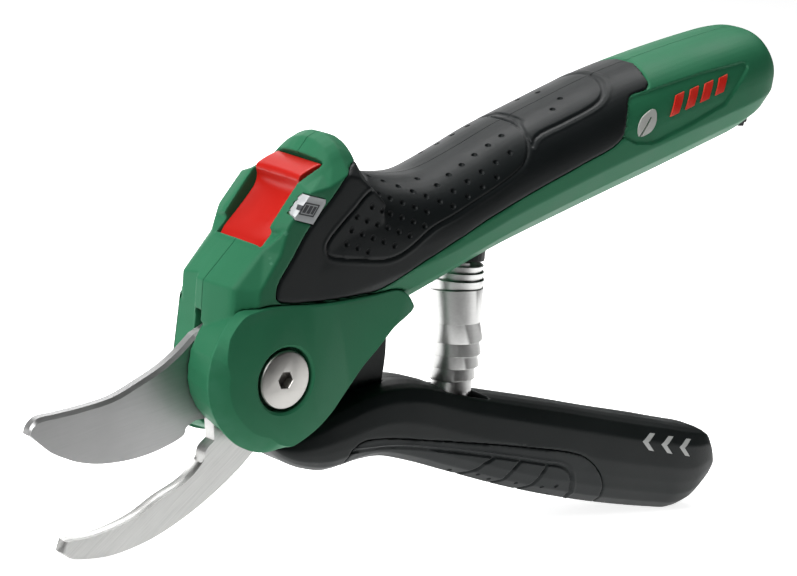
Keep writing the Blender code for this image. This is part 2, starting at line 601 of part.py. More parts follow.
def pivot_stack(root):
    face = -SHELL_SIDE - GAP - BOLT_HEAD_THICK
    bolt = turned("pivot_bolt", [(BOLT_HEAD_RADIUS - 0.4, face), (BOLT_HEAD_RADIUS, face + 0.4),
                                 (BOLT_HEAD_RADIUS, face + BOLT_HEAD_THICK), (BOLT_RADIUS, face + BOLT_HEAD_THICK),
                                 (BOLT_RADIUS, NUT_Y[1])], "bright", root, axis="Y", segments=32)
    cut(bolt, turned("bolt_socket", rod_profile(BOLT_SOCKET / math.sqrt(3), face - 1, face + 2.4), None, root,
                     axis="Y", segments=6))
    nut = turned("pivot_nut", rod_profile(BOLT_HEAD_RADIUS, *NUT_Y), "steel", root, axis="Y", segments=6)
    cut(nut, turned("nut_bore", rod_profile(BOLT_RADIUS + GAP, 0, 30), None, root, axis="Y"))
    turned("pivot_washer", tube_profile(BOLT_RADIUS + GAP, BOLT_HEAD_RADIUS - 0.3, SHELL_SIDE + GAP, NUT_Y[0] - GAP),
           "steel", root, axis="Y", closed=True)
    turned("pivot_bush", tube_profile(BOLT_RADIUS + GAP, BUSH_RADIUS, *BLADE_Y), "brass", root, axis="Y",
           closed=True)


def hook(root):
    blade = prism("hook_blade", HOOK_TOP + HOOK_BELLY + HOOK_ROOT, HOOK_Y, "steel", root)
    cut(blade, turned("hook_bore", rod_profile(BOLT_RADIUS + GAP, -30, 30), None, root, axis="Y"))
    for k, place in enumerate(HOOK_PINS, 1):
        cut(blade, turned(f"hook_hole_{k}", rod_profile(PIN_RADIUS + GAP, -30, 30), None, root, axis="Y",
                          place=place, segments=12))
        turned(f"hook_pin_{k}", rod_profile(PIN_RADIUS, -PIN_DEPTH, -GAP), "steel", root, axis="Y", place=place,
               segments=12)


def cutting_blade(lever):
    outline = BLADE_BACK + BLADE_EDGE + TANG + arc(PIVOT_EYE_RADIUS, math.radians(0.0), math.radians(125.0), 8)
    outline += [(-12.5, 11.8)]
    blade = prism("cutting_blade", outline, BLADE_Y, "steel", lever)
    cut(blade, turned("eye_bore", rod_profile(BUSH_RADIUS + GAP, -30, 30), None, lever, axis="Y"))
    for k, (x, z) in enumerate(RIVETS, 1):
        cut(blade, turned(f"rivet_hole_{k}", rod_profile(RIVET_RADIUS + GAP, -30, 30), None, lever, axis="Y",
                          place=(x, 0.0, z), segments=12))


def fin_outline():
    points = FIN + arc(FIN_RADIUS, math.radians(-24.0), FIN_STEP_ANGLE, 8)
    points += arc(FIN_TOP_RADIUS, FIN_STEP_ANGLE + 0.05, FIN_TOP_ANGLE, 4)
    return points + arc(FIN_INNER_RADIUS, FIN_TOP_ANGLE, math.radians(-30.0), 6)


def sector_outline():
    """A toothed sector: teeth above, a riveted foot below."""
    pitch = 2 * math.pi / SECTOR_TEETH
    points = [(14.0, -14.5), (24.0, -17.0), (34.0, -17.5), (34.6, -2.0)]
    for k in range(SECTOR_FIRST, SECTOR_LAST + 1):
        centre = CROSS_ANGLE + k * pitch
        for share, at in ((-0.27, -1.25), (-0.11, 1.0), (0.11, 1.0), (0.27, -1.25)):
            radius = SECTOR_RADIUS + at * SECTOR_MODULE
            points.append((radius * math.cos(centre + share * pitch), radius * math.sin(centre + share * pitch)))
    return points + arc(PIVOT_EYE_RADIUS + 2.0, CROSS_ANGLE + SECTOR_LAST * pitch, math.radians(-35.0), 8)


def lever_plates(lever):
    fin = prism("lever_fin", fin_outline(), FIN_Y, "black", lever)
    sector = prism("drive_sector", sector_outline(), SECTOR_Y, "steel", lever)
    for k, (x, z) in enumerate(RIVETS, 1):
        hole = turned(f"plate_hole_{k}", rod_profile(RIVET_RADIUS + GAP, -30, 30), None, lever, axis="Y",
                      place=(x, 0.0, z), segments=12)
        cut(fin, hole)
        cut(sector, hole)
        turned(f"lever_rivet_{k}", rod_profile(RIVET_RADIUS, FIN_Y[0], SECTOR_Y[1]), "steel", lever, axis="Y",
               place=(x, 0.0, z), segments=12)


def lower_handle(lever):
    """Two hard half shells around the tang, and one soft insert under them."""
    body = lever_skin("lever_form", 0.0, lever)
    region = prism("insert_recess", grown(INSERT, GAP), (-30.0, 30.0), None, lever)
    core = lever_skin("lever_core", LEVER_INSERT_THICK + GAP, lever)
    cut(body, region)
    add(body, core)
    tang = BLADE_BACK[:1] + BLADE_EDGE[-1:] + TANG + [(0.0, 5.0)]
    cut(body, prism("tang_pocket", grown(tang, GAP), (BLADE_Y[0] - GAP, BLADE_Y[1] + GAP), None, lever))
    cut(body, prism("fin_pocket", grown(fin_outline(), GAP), (FIN_Y[0] - GAP, 0.5), None, lever))
    cut(body, prism("sector_pocket", grown([(10.0, -3.0), (14.0, -14.5), (24.0, -17.0), (34.0, -17.5),
                                            (36.0, 0.0)], GAP), (1.0, SECTOR_Y[1] + GAP), None, lever))
    cut(body, block("spring_slot", (SPRING_X + 1.2, 0.0, SPRING_FOOT_Z + 3.4), (16.0, 14.6, 11.0), None, lever))
    cut(body, turned("guard_clear", rod_profile(14.6, -30, 30), None, lever, axis="Y"))
    for k, (x, z, outer) in enumerate(LEVER_SCREWS, 1):
        seat = outer - 2.6
        profile = [(SCREW_RADIUS + GAP, -6.3), (SCREW_RADIUS + GAP, seat), (SCREW_HEAD_RADIUS + GAP, seat),
                   (SCREW_HEAD_RADIUS + GAP, 30.0)]
        cut(body, turned(f"lever_screw_hole_{k}", profile, None, lever, axis="Y", segments=12, place=(x, 0, z)))
        profile = [(SCREW_RADIUS, -6.0), (SCREW_RADIUS, seat + GAP), (SCREW_HEAD_RADIUS, seat + GAP),
                   (SCREW_HEAD_RADIUS, seat + GAP + 1.8)]
        turned(f"handle_screw_{k}", profile, "steel", lever, axis="Y", segments=12, place=(x, 0, z))
    for name, low, high in (("lower_handle_left", GAP / 2, 40.0), ("lower_handle_right", -40.0, -GAP / 2)):
        shell = block(name, (80.0, (low + high) / 2, -30.0), (250.0, high - low, 100.0), "black", lever)
        keep(shell, body)
    insert = prism("lower_grip_insert", INSERT, (-30.0, 30.0), "rubber", lever)
    keep(insert, lever_skin("insert_form", 0.0, lever))
    cut(insert, lever_skin("insert_inner", LEVER_INSERT_THICK, lever))
    block("spring_foot", (SPRING_X + 1.2, 0.0, SPRING_FOOT_Z - 0.3 - 0.6), (9.0, 8.0, 1.2), "steel", lever)


def spring(root):
    """A double volute spring as its outer form: a bowed barrel of strip turns."""
    levels = [(SPRING_FOOT_Z, 4.6, 1.2), (-5.0, 5.4, 1.4), (2.0, 6.2, 1.4), (8.0, 6.7, 0.6), (14.0, 6.9, -0.8),
              (19.0, 6.4, -0.8), (SPRING_TOP_Z, 4.2, 0.0)]
    rings = []
    for z, radius, lean in levels:
        rings.append([(SPRING_X + lean + u, v, z) for u, v in arc(radius, 0.0, 2 * math.pi * 15 / 16, 15)])
    skin("volute_spring", rings, "bright", root)
    turned("spring_cup", tube_profile(2.2, SPRING_CUP_RADIUS, SPRING_TOP_Z + GAP, SPRING_TOP_Z + 4.0), "black", root,
           axis="Z", closed=True, place=(SPRING_X, 0.0, 0.0))


# Drive.


def drive(root, rotor, carrier, planets, crown, pinion):
    end = MOTOR_START + MOTOR_LENGTH
    can = turned("motor_can", rod_profile(MOTOR_RADIUS, MOTOR_START, end - 3.0), "steel", **drive_place(root))
    cut(can, turned("can_hollow", rod_profile(MOTOR_RADIUS - MOTOR_WALL, MOTOR_START + 1.6, end), None,
                    **drive_place(root)),
        turned("can_bore", rod_profile(2.0, MOTOR_START - 1, end), None, segments=12, **drive_place(root)))
    turned("motor_end_cap", tube_profile(MOTOR_SHAFT_RADIUS + GAP, MOTOR_RADIUS, end - 3.0 + GAP, end), "black",
           closed=True, **drive_place(root))
    turned("motor_rotor", [(MOTOR_SHAFT_RADIUS, GEARBOX_START + 5.2), (MOTOR_SHAFT_RADIUS, MOTOR_START + 4.0),
                           (ROTOR_RADIUS, MOTOR_START + 4.0), (ROTOR_RADIUS, end - 6.0),
                           (MOTOR_SHAFT_RADIUS, end - 6.0), (MOTOR_SHAFT_RADIUS, end + 1.0)], "steel", rotor,
           segments=16)
    plane = (GEARBOX_START + 5.2, GEARBOX_START + 11.0)
    gear("sun_gear", gear_points(SUN_TEETH, GEAR_MODULE, 0.0), "X", plane, MOTOR_SHAFT_RADIUS + GAP, "brass", rotor)
    box = turned("gearbox_housing", rod_profile(GEARBOX_RADIUS, GEARBOX_START, GEARBOX_START + GEARBOX_LENGTH),
                 "black", **drive_place(root))
    teeth = [[(along, u, v) for u, v in gear_points(RING_TEETH, GEAR_MODULE, 0.0, internal=True)]
             for along in (GEARBOX_START + 1.6, GEARBOX_START + GEARBOX_LENGTH + 1)]
    cut(box, skin("ring_teeth", teeth, None, **drive_place(root)),
        turned("box_bore", rod_profile(CARRIER_SHAFT_RADIUS + GAP, 0, GEARBOX_START + 3), None, segments=16,
               **drive_place(root)))
    spacing = GEAR_MODULE * (SUN_TEETH + PLANET_TEETH) / 2
    hub = turned("planet_carrier", [(CARRIER_SHAFT_RADIUS, CROWN_RADIUS - CROWN_FACE / 2 + 0.3),
                                    (CARRIER_SHAFT_RADIUS, GEARBOX_START + 2.0), (7.2, GEARBOX_START + 2.0),
                                    (7.2, GEARBOX_START + 4.6)], "steel", carrier)
    for k, parent in enumerate(planets):
        turn = 2 * math.pi * k / PLANETS
        y, z = spacing * math.cos(turn), spacing * math.sin(turn)
        pin = turned(f"carrier_pin_{k + 1}", rod_profile(PLANET_PIN_RADIUS, GEARBOX_START + 3.0, plane[1]), None,
                     carrier, segments=10, place=(0.0, y, z))
        add(hub, pin)
        gear(f"planet_gear_{k + 1}", gear_points(PLANET_TEETH, GEAR_MODULE, turn + math.pi / PLANET_TEETH), "X", plane,
             PLANET_PIN_RADIUS + GAP, "brass", parent)
    gear("drive_pinion", gear_points(CROWN_DRIVER_TEETH, CROWN_MODULE, math.pi), "X",
         (CROWN_RADIUS - CROWN_FACE / 2 + 0.4, CROWN_RADIUS + CROWN_FACE / 2 - 0.1), CARRIER_SHAFT_RADIUS + GAP,
         "steel", carrier)
    crown_gear(crown)
    turned("clutch_sleeve", tube_profile(CROSS_SHAFT_RADIUS + GAP, CLUTCH_OUTER, -8.6, CROWN_PITCH_Y), "bright",
           crown, axis="Y", closed=True)
    turned("cross_shaft", rod_profile(CROSS_SHAFT_RADIUS, -CROSS_SHAFT_HALF, CROSS_SHAFT_HALF), "bright", pinion,
           axis="Y", segments=16)
    half_pitch = math.pi / PINION_TEETH
    gear("sector_pinion", gear_points(PINION_TEETH, SECTOR_MODULE, CROSS_ANGLE + math.pi + half_pitch), "Y",
         SECTOR_Y, CROSS_SHAFT_RADIUS + GAP, "steel", pinion)
    for name, low, high in (("shaft_bush_left", 9.5, CROSS_SHAFT_HALF), ("shaft_bush_right", -CROSS_SHAFT_HALF, -9.5)):
        turned(name, tube_profile(CROSS_SHAFT_RADIUS + GAP, BUSH_OUTER, low, high), "brass", root, axis="Y",
               closed=True, place=(CROSS_X, 0.0, CROSS_Z), segments=16)


def crown_gear(parent):
    """A face gear whose teeth point at +Y: loops around the shaft with stepped tooth heights."""
    pitch = 2 * math.pi / CROWN_TEETH
    tip, root = CROWN_PITCH_Y + 0.6 * CROWN_MODULE, CROWN_PITCH_Y - 1.25 * CROWN_MODULE
    back = -8.2
    turns, tops = [], []
    for k in range(CROWN_TEETH):
        for share, top in ((-0.24, root), (-0.07, tip), (0.07, tip), (0.24, root)):
            turns.append(DRIVE_TILT + (k + 0.5 + share) * pitch)
            tops.append(top)
    inner, outer = CROWN_RADIUS - CROWN_FACE / 2, CROWN_OUTER
    bore = CLUTCH_OUTER + GAP
    web = root - 0.8
    rings = []
    for radius, levels in ((bore, back), (outer, back), (outer, None), (inner, None), (inner, web), (bore, web)):
        rings.append([(radius * math.cos(t), tops[k] if levels is None else levels, radius * math.sin(t))
                      for k, t in enumerate(turns)])
    skin("crown_gear", rings, "steel", parent, closed=True)


# Electrics.


def electrics(root, door):
    turned("battery_cell", [(CELL_RADIUS, 0.6), (CELL_RADIUS, CELL_LENGTH)], "cell", **cell_place(root))
    block("cell_tab_front", (-0.1, 0.0, 0.0), (0.4, 6.0, 12.0), "bright", **cell_place(root))
    block("cell_tab_rear", (CELL_LENGTH + 0.5, 0.0, 0.0), (0.4, 6.0, 12.0), "bright", **cell_place(root))
    block("control_board", (15.0, 9.7, 33.0), (18.0, 1.4, 18.0), "board", root)
    block("lock_switch", (9.2, 6.4, 39.6), (7.0, 4.4, 5.0), "black", root)
    prism("indicator_board", grown(WINDOW, -0.6), (-WINDOW_INNER + 2 * GAP, -WINDOW_INNER + 2 * GAP + 1.2), "board",
          root)
    prism("indicator_window", WINDOW, (-WINDOW_OUTER, -WINDOW_INNER), "window", root)
    block("charge_socket", (SOCKET_X, 0.0, SOCKET_Z), SOCKET_SIZE, "bright", root)
    length, width, thick = PORT_SIZE
    block("port_cover", (length / 2, 0.0, thick / 2), PORT_SIZE, "rubber", door)


def empty(name, parent, place=(0.0, 0.0, 0.0), turn=0.0):
    made = bpy.data.objects.new(name, None)
    bpy.context.collection.objects.link(made)
    made.parent = parent
    made.location = Vector(place) * MM
    made.rotation_euler = (0.0, -turn, 0.0)
    return made


def main():
    for old in list(bpy.data.objects):
        bpy.data.objects.remove(old, do_unlink=True)
    root = empty("pivot_axis", None, place=(PIVOT_X, 0.0, PIVOT_Z))
    lever = empty("lever_axis", root)
    lock = empty("slider_path", root)
    rotor = empty("drive_axis", root, place=(CROSS_X, 0.0, CROSS_Z), turn=DRIVE_TILT)
    spacing = GEAR_MODULE * (SUN_TEETH + PLANET_TEETH) / 2
    planets = []
    for k in range(PLANETS):
        turn = 2 * math.pi * k / PLANETS
        planets.append(empty(f"planet_axis_{k + 1}", rotor,
                             place=(0.0, spacing * math.cos(turn), spacing * math.sin(turn))))
    door = empty("port_hinge", root, place=(SOCKET_X - PORT_SIZE[0] / 2, 0.0, PORT_Z - PORT_SIZE[2] / 2))
    cross = empty("cross_axis", root, place=(CROSS_X, 0.0, CROSS_Z))
    housing(root)
    grips(root)
    pivot_covers(root)
    slider(lock)
    screws(root)
    pivot_stack(root)
    hook(root)
    cutting_blade(lever)
    lever_plates(lever)
    lower_handle(lever)
    spring(root)
    drive(root, rotor, rotor, planets, cross, cross)
    electrics(root, door)


main()
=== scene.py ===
"""Battery electric pruner, ready to cut: two green shells with a soft black grip, a red lock slider, a steel
blade and hook on one bolt, and a black lower handle held open by a volute spring."""

import math

import bmesh
import bpy
import numpy as np
from mathutils import Matrix, Vector


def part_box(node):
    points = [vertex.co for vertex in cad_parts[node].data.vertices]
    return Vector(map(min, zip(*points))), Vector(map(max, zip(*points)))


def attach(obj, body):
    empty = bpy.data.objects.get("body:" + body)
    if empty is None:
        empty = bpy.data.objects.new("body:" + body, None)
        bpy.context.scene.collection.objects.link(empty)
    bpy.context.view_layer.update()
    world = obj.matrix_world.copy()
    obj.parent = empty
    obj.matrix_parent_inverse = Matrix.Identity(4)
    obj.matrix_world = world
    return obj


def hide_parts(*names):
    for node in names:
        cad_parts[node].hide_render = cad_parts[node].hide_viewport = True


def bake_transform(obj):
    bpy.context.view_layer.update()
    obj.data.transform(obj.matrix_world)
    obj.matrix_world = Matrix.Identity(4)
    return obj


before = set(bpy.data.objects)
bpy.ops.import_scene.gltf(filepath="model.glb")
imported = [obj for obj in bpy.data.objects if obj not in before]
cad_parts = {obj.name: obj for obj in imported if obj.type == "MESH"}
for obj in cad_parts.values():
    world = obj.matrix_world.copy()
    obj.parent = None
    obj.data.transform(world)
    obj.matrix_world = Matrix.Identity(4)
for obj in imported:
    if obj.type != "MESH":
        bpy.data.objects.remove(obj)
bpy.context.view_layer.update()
scene = bpy.context.scene

# The studio: a floor that is white behind the tool and dark in front of it, a broad white sky, one large soft
# box ahead of the blades, a strip above and a dim side towards the viewer, so that side walls stay dark.
CAMERA_AT = (-0.59085, -0.66411, 0.23222)
CAMERA_AXES = (
    (0.75928635, 0.02749097, -0.65017574),
    (-0.63876782, 0.22238094, -0.7365612),
    (0.12433791, 0.9745722, 0.18641115),
)


def placed(name, data):
    """A new object in the scene, at the origin."""
    made = bpy.data.objects.new(name, data)
    scene.collection.objects.link(made)
    return made


def bare_object(name, points, faces=(), edges=()):
    mesh = bpy.data.meshes.new(name)
    mesh.from_pydata([tuple(map(float, p)) for p in points], edges, faces)
    mesh.validate()
    return placed(name, mesh)


camera = placed("camera", bpy.data.cameras.new("camera"))
camera.data.lens = 158.09
camera.data.sensor_width = 36.0
camera.data.clip_start, camera.data.clip_end = 0.05, 60.0
camera.matrix_world = Matrix.Translation(CAMERA_AT) @ Matrix(CAMERA_AXES).to_4x4()
scene.camera = camera
scene.view_settings.view_transform = "Standard"


def feed(tree, node, sockets):
    """Gives a node's input sockets a value, another node's output, or another node's first output."""
    for name, value in sockets.items():
        if isinstance(value, bpy.types.Node):
            value = value.outputs[0]
        if isinstance(value, bpy.types.NodeSocket):
            tree.links.new(value, node.inputs[name])
        else:
            node.inputs[name].default_value = value
    return node


def wire(tree, kind, sockets=(), **settings):
    """A shader or geometry node with its settings and its input sockets."""
    made = tree.nodes.new(kind)
    for name, value in settings.items():
        setattr(made, name, value)
    return feed(tree, made, dict(sockets))


def span(tree, value, low, high, to_low=0.0, to_high=1.0):
    """A value mapped from one range to another."""
    return wire(tree, "ShaderNodeMapRange", {0: value, 1: low, 2: high, 3: to_low, 4: to_high})


def product(tree, a, b):
    return wire(tree, "ShaderNodeMath", {0: a, 1: b}, operation="MULTIPLY")


def blend_of(tree, share, a, b):
    """Two colours mixed by a share."""
    a, b = (c + (1.0,) if isinstance(c, tuple) else c for c in (a, b))
    return wire(tree, "ShaderNodeMix", {0: share, 6: a, 7: b}, data_type="RGBA").outputs[2]


def noise(tree, scale, detail, roughness=0.5, **at):
    return wire(tree, "ShaderNodeTexNoise", {"Scale": scale, "Detail": detail, "Roughness": roughness, **at})


def surface_of(name):
    """A new material, its node tree, its shader and the place on the piece."""
    made = bpy.data.materials.new(name)
    made.use_nodes = True
    tree = made.node_tree
    return made, tree, tree.nodes["Principled BSDF"], wire(tree, "ShaderNodeTexCoord").outputs["Object"]


world = bpy.data.worlds.new("studio")
scene.world = world
world.use_nodes = True
sky = world.node_tree
sky_at = wire(sky, "ShaderNodeSeparateXYZ", {0: wire(sky, "ShaderNodeTexCoord").outputs["Generated"]})
sky_high = span(sky, sky_at.outputs["Z"], 0.05, 0.75, 0.10, 1.15)
sky_left = span(sky, sky_at.outputs["X"], 0.2, -1.0, 0.0, 0.55)
sky_near = span(sky, sky_at.outputs["Y"], -0.85, 0.15, 0.18, 1.0)
sky_light = wire(sky, "ShaderNodeMath", {0: sky_high, 1: sky_left})
feed(sky, sky.nodes["Background"], {"Strength": product(sky, sky_light, sky_near)})


def soft_box(name, at, towards, size, watts):
    light = bpy.data.lights.new(name, "AREA")
    light.shape, light.size, light.size_y, light.energy = "RECTANGLE", size[0], size[1], watts
    made = placed(name, light)
    made.location = at
    made.rotation_euler = (Vector(towards) - Vector(at)).to_track_quat("-Z", "Y").to_euler()


soft_box("front_box", (-0.95, -0.05, 0.75), (0.0, 0.0, 0.07), (0.9, 0.9), 15.5)
soft_box("top_strip", (0.25, 0.35, 0.95), (0.05, 0.0, 0.08), (1.1, 0.35), 8.5)
soft_box("far_box", (0.3, 0.9, 0.35), (0.0, 0.0, 0.06), (0.8, 0.6), 3.0)

FLOOR_RADIUS = 14
floor = bare_object("floor", [(FLOOR_RADIUS * math.cos(math.tau * k / 64), FLOOR_RADIUS * math.sin(math.tau * k / 64),
                               0.0) for k in range(64)], [tuple(range(64))])
paper, tree, shader, paper_at = surface_of("white_paper")
speck = noise(tree, 60.0, 4.0)
ahead = wire(tree, "ShaderNodeVectorMath", {0: paper_at, 1: (0.6618, 0.7497, 0.0)}, operation="DOT_PRODUCT")
lit = span(tree, ahead.outputs["Value"], -0.13, -0.06)
feed(tree, shader, {"Roughness": span(tree, speck, 0.0, 1.0, 0.60, 0.70), "Emission Color": (1.0, 1.0, 1.0, 1.0),
                    "Base Color": blend_of(tree, lit, (0.07, 0.07, 0.07), (0.93, 0.93, 0.93)),
                    "Emission Strength": product(tree, lit, 0.85)})
floor.data.materials.append(paper)

# The two shells: green glass-filled nylon, moulded as a left and a right half with a fine spark texture, hollow
# inside, and screwed together from the far side. The head is squarer in front, with a well for the lock slider
# and a hood behind it; the handle has a round back, a flat-sided belly and a shallow panel at its end.
MM = 0.001
bolt_low, bolt_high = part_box("pivot_bolt")
PIVOT = np.array([(bolt_low.x + bolt_high.x) / 2, 0.0, (bolt_low.z + bolt_high.z) / 2])
SEAM = 0.09  # half the gap between the halves
GAP, WALL = 0.3, 2.0  # running clearance, plastic walls
REVEAL = 0.12  # gap round a soft part let into a hard one
GRIP_DEPTH = 2.0
HALF_WIDTH, HEAD_HALF = 16.5, 14.3
SHELL_SIDE = 11.0
BLADE_SIDES = (0.15, 3.15)
HOOK_SIDES = (-4.0, -0.15)
FIN_SIDES = (-2.55, -0.15)
SLIDER_HALF = 8.7
CROSS = (29.47, 28.86)
BOLT_BORE, RIVET_BORE, PIN_BORE = 4.3, 1.9, 1.8
SIDES = (("left", 1), ("right", -1))
HANDLE_STATIONS = [
    (4, 45, 4, 0.86), (12, 51, 4, 0.88), (20, 51.6, 6.5, 0.90), (28, 49.6, 11.5, 0.92), (36, 49.1, 15.5, 0.94),
    (45, 50, 19.4, 0.96), (58, 55.4, 25.6, 0.99), (70, 61.4, 31, 1), (86, 68.2, 37.2, 1), (105, 75.8, 44.3, 1),
    (125, 82.1, 51.6, 0.99), (144, 87.2, 58.7, 0.96), (152, 89, 61.6, 0.92), (157, 89.2, 64, 0.86),
    (161, 86.4, 67.2, 0.74), (164, 83, 70.6, 0.56), (165.4, 79.6, 74.2, 0.36),
]
HEAD_OUTLINE = [
    (-17.2, 11.9), (-17.9, 22.6), (-9.8, 32), (-6, 39), (0.6, 49.6), (7.1, 54.8), (9.6, 58.4), (12.6, 60),
    (16.6, 59.2), (20.5, 53), (26, 44), (24, 18), (-6, 14),
]
COVER_OUTLINE = [
    (-4, 19), (-7.6, 18.8), (-11.9, 18), (-15.2, 16.8), (-17.6, 14.4), (-19.8, 10.5), (-21.6, 5.8), (-22, 1),
    (-21.6, -3), (-20.1, -7.1), (-17.6, -10.9), (-14.1, -14.3), (-9.7, -17.2), (-3.6, -19), (1.4, -18.7),
    (6.2, -16.9), (11.8, -13.5), (16.3, -9.2), (20.6, -3.2), (24.9, 2.4), (29.5, 6.8), (34.5, 12), (40.4, 17),
    (39.4, 18.9), (37.7, 20.6), (34.3, 21.8), (25.9, 20.9), (10.7, 19.2),
]
GRIP_EDGE = [
    (19.3, 54.2), (15.4, 53.6), (11.9, 50.6), (8.7, 46.1), (2, 37.9), (-2.1, 30.3), (-5.6, 23.8), (-5.4, 20.6),
    (-3.6, 19.6), (10.7, 19.8), (20.9, 20.9), (26, 21.6), (30.8, 23.6), (36.4, 27.1), (49.3, 34.3), (62.4, 41.7),
    (76, 48.2), (89.8, 54.3), (102.4, 60.7), (104.6, 67.5), (106.6, 71.6), (113.4, 74.2), (114.8, 78),
    (119.5, 81.5),
]
SLIDER_WELL = [
    (8, 53.9), (-8, 66), (-30, 44), (-8.4, 32.8), (-11.1, 27.6), (-11.1, 25), (-4, 30), (10.4, 47.6),
    (10.6, 51),
]
GUARD_STEP = [(-30, 42), (-6.9, 38.2), (-5.6, 36.2), (-7.6, 33.6), (-12, 29), (-30, 29)]
HEAD_ROOM = [
    (-12.6, 20.5), (-8.2, 27.6), (-1, 35.6), (4, 42), (9, 49.5), (20, 46), (34, 44), (38, 30), (22, 22), (2, 19),
]
WINDOW = [(0.3, 46.5), (6.1, 45.4), (6.2, 44.3), (3.0, 39.2), (-2.7, 40.4), (-3.1, 41.6)]
PANEL = [
    (97, 60), (103.9, 60.9), (108, 59.6), (112.9, 59.4), (116.3, 60), (128.5, 64.9), (140.1, 70.2),
    (148.2, 80.2), (148.3, 81.4), (146.8, 82), (131.3, 78.7), (116.5, 74.7), (110, 72.8), (103, 71), (97, 66),
]
HOUSING_SCREWS = [
    (13, 54.6, 8.5), (-10.6, 17, 10.5), (47.5, 24, 13), (88, 41.6, 13), (134, 57.8, 12), (159, 76, 9.5),
]
scraps = []


def passing(p, q, low, high, t):
    return p * (high - t) / (high - low) + q * (t - low) / (high - low)


def flow(points, per=6, closed=False):
    """A smooth line through points, the same whatever their spacing."""
    line = np.array(points, float)
    if closed:
        line = np.vstack([line[-1], line, line[0], line[1]])
    else:
        line = np.vstack([2 * line[0] - line[1], line, 2 * line[-1] - line[-2]])
    made = []
    for a, b, c, d in zip(line, line[1:], line[2:], line[3:]):
        t0, t1, t2, t3 = np.cumsum([0.0] + [max(1e-6, np.linalg.norm(v - u)) ** 0.5
                                            for u, v in ((a, b), (b, c), (c, d))])
        for t in np.linspace(t1, t2, per, endpoint=False):
            e, f, g = passing(a, b, t0, t1, t), passing(b, c, t1, t2, t), passing(c, d, t2, t3, t)
            made.append(passing(passing(e, f, t0, t2, t), passing(f, g, t1, t3, t), t1, t2, t))
    if not closed:
        made.append(line[-2])
    return [tuple(p) for p in made]


def grown(outline, by):
    """An outline moved outwards, each corner along its bisector."""
    line = np.array(outline, float)
    ahead = np.roll(line, -1, axis=0) - line
    ahead /= np.linalg.norm(ahead, axis=1)[:, None]
    behind = np.roll(ahead, 1, axis=0)
    area = np.sum(line[:, 0] * np.roll(line[:, 1], -1) - np.roll(line[:, 0], -1) * line[:, 1])
    side = math.copysign(1.0, area)
    bisector = ahead + behind
    bisector /= np.linalg.norm(bisector, axis=1)[:, None]
    out = np.stack([bisector[:, 1], -bisector[:, 0]], axis=1) * side
    normal = np.stack([ahead[:, 1], -ahead[:, 0]], axis=1) * side
    stretch = np.maximum(0.5, np.sum(out * normal, axis=1))
    return [tuple(p) for p in line + out * (by / stretch)[:, None]]


def arc(radius, start, end, steps):
    turns = [start + (end - start) * k / steps for k in range(steps + 1)]
    return [(radius * math.cos(t), radius * math.sin(t)) for t in turns]


def clamped(*values):
    return max(0.0, min(1.0, *values))


def volume_of(mesh):
    shape = bmesh.new()
    shape.from_mesh(mesh)
    return shape.calc_volume(signed=True)


def loft(name, rings):
    """A closed solid through rings of equally many points, in millimetres from the pivot axis."""
    count, last = len(rings[0]), len(rings) - 1
    faces = []
    for low in range(0, last * count, count):
        high = low + count
        faces += [(low + i, low + (i + 1) % count, high + (i + 1) % count, high + i) for i in range(count)]
    faces += [tuple(range(count))[::-1], tuple(range(last * count, (last + 1) * count))]
    made = bare_object(name, [p for loop in rings for p in loop], faces)
    if volume_of(made.data) < 0:
        made.data.flip_normals()
    return made


def layered(name, outline, rows):
    """A solid through one outline moved out by its own amount at each depth."""
    return loft(name, [[(x, y, z) for x, z in grown(outline, by)] for y, by in rows])


def slab(name, outline, low=-30.0, high=30.0):
    return loft(name, [[(x, y, z) for x, z in outline] for y in sorted((low, high))])


def turned(name, profile, centre=(0.0, 0.0), segments=64, tilt=None):
    """A turned solid from (radius, distance) pairs, about Y, or about a line tilted in the side view."""
    rings = []
    for radius, along in profile:
        circle = arc(radius, 0.0, math.tau * (segments - 1) / segments, segments - 1)
        if tilt is None:
            rings.append([(centre[0] + u, along, centre[1] + v) for u, v in circle])
        else:
            c, s = math.cos(tilt), math.sin(tilt)
            rings.append([(centre[0] + along * c - v * s, u, centre[1] + along * s + v * c) for u, v in circle])
    return loft(name, rings)


def bore(name, radius, centre=(0.0, 0.0), segments=64):
    return turned(name, [(radius, -30), (radius, 30)], centre, segments)


def block(name, centre, size):
    x, y, z = centre
    a, b, c = (s / 2 for s in size)
    corners = [(x - a, z - c), (x + a, z - c), (x + a, z + c), (x - a, z + c)]
    return slab(name, corners, y - b, y + b)


def settle(piece):
    """The piece's modifiers worked into its mesh, and the tools that shaped it thrown away."""
    depsgraph = bpy.context.evaluated_depsgraph_get()
    mesh = bpy.data.meshes.new_from_object(piece.evaluated_get(depsgraph))
    piece.modifiers.clear()
    piece.data = mesh
    while scraps:
        bpy.data.objects.remove(scraps.pop(), do_unlink=True)
    return piece


def carve(piece, *tools, operation="DIFFERENCE"):
    for tool in tools:
        step = piece.modifiers.new("carve", "BOOLEAN")
        step.operation, step.solver, step.object = operation, "MANIFOLD", tool
        tool.hide_render = tool.hide_viewport = True
        scraps.append(tool)
    return settle(piece)


def between(piece, form, outer, inner):
    """What lies of a piece in the layer between two insets of a form."""
    carve(piece, form("outer", outer), operation="INTERSECT")
    return carve(piece, form("inner", inner))


def moulded(piece, voxel, rounds):
    """Soft moulded edges: an even skin over the sharp form, relaxed a little."""
    step = piece.modifiers.new("skin", "REMESH")
    step.mode, step.voxel_size = "VOXEL", voxel
    step = piece.modifiers.new("relax", "SMOOTH")
    step.factor, step.iterations = 0.5, rounds
    return settle(piece)


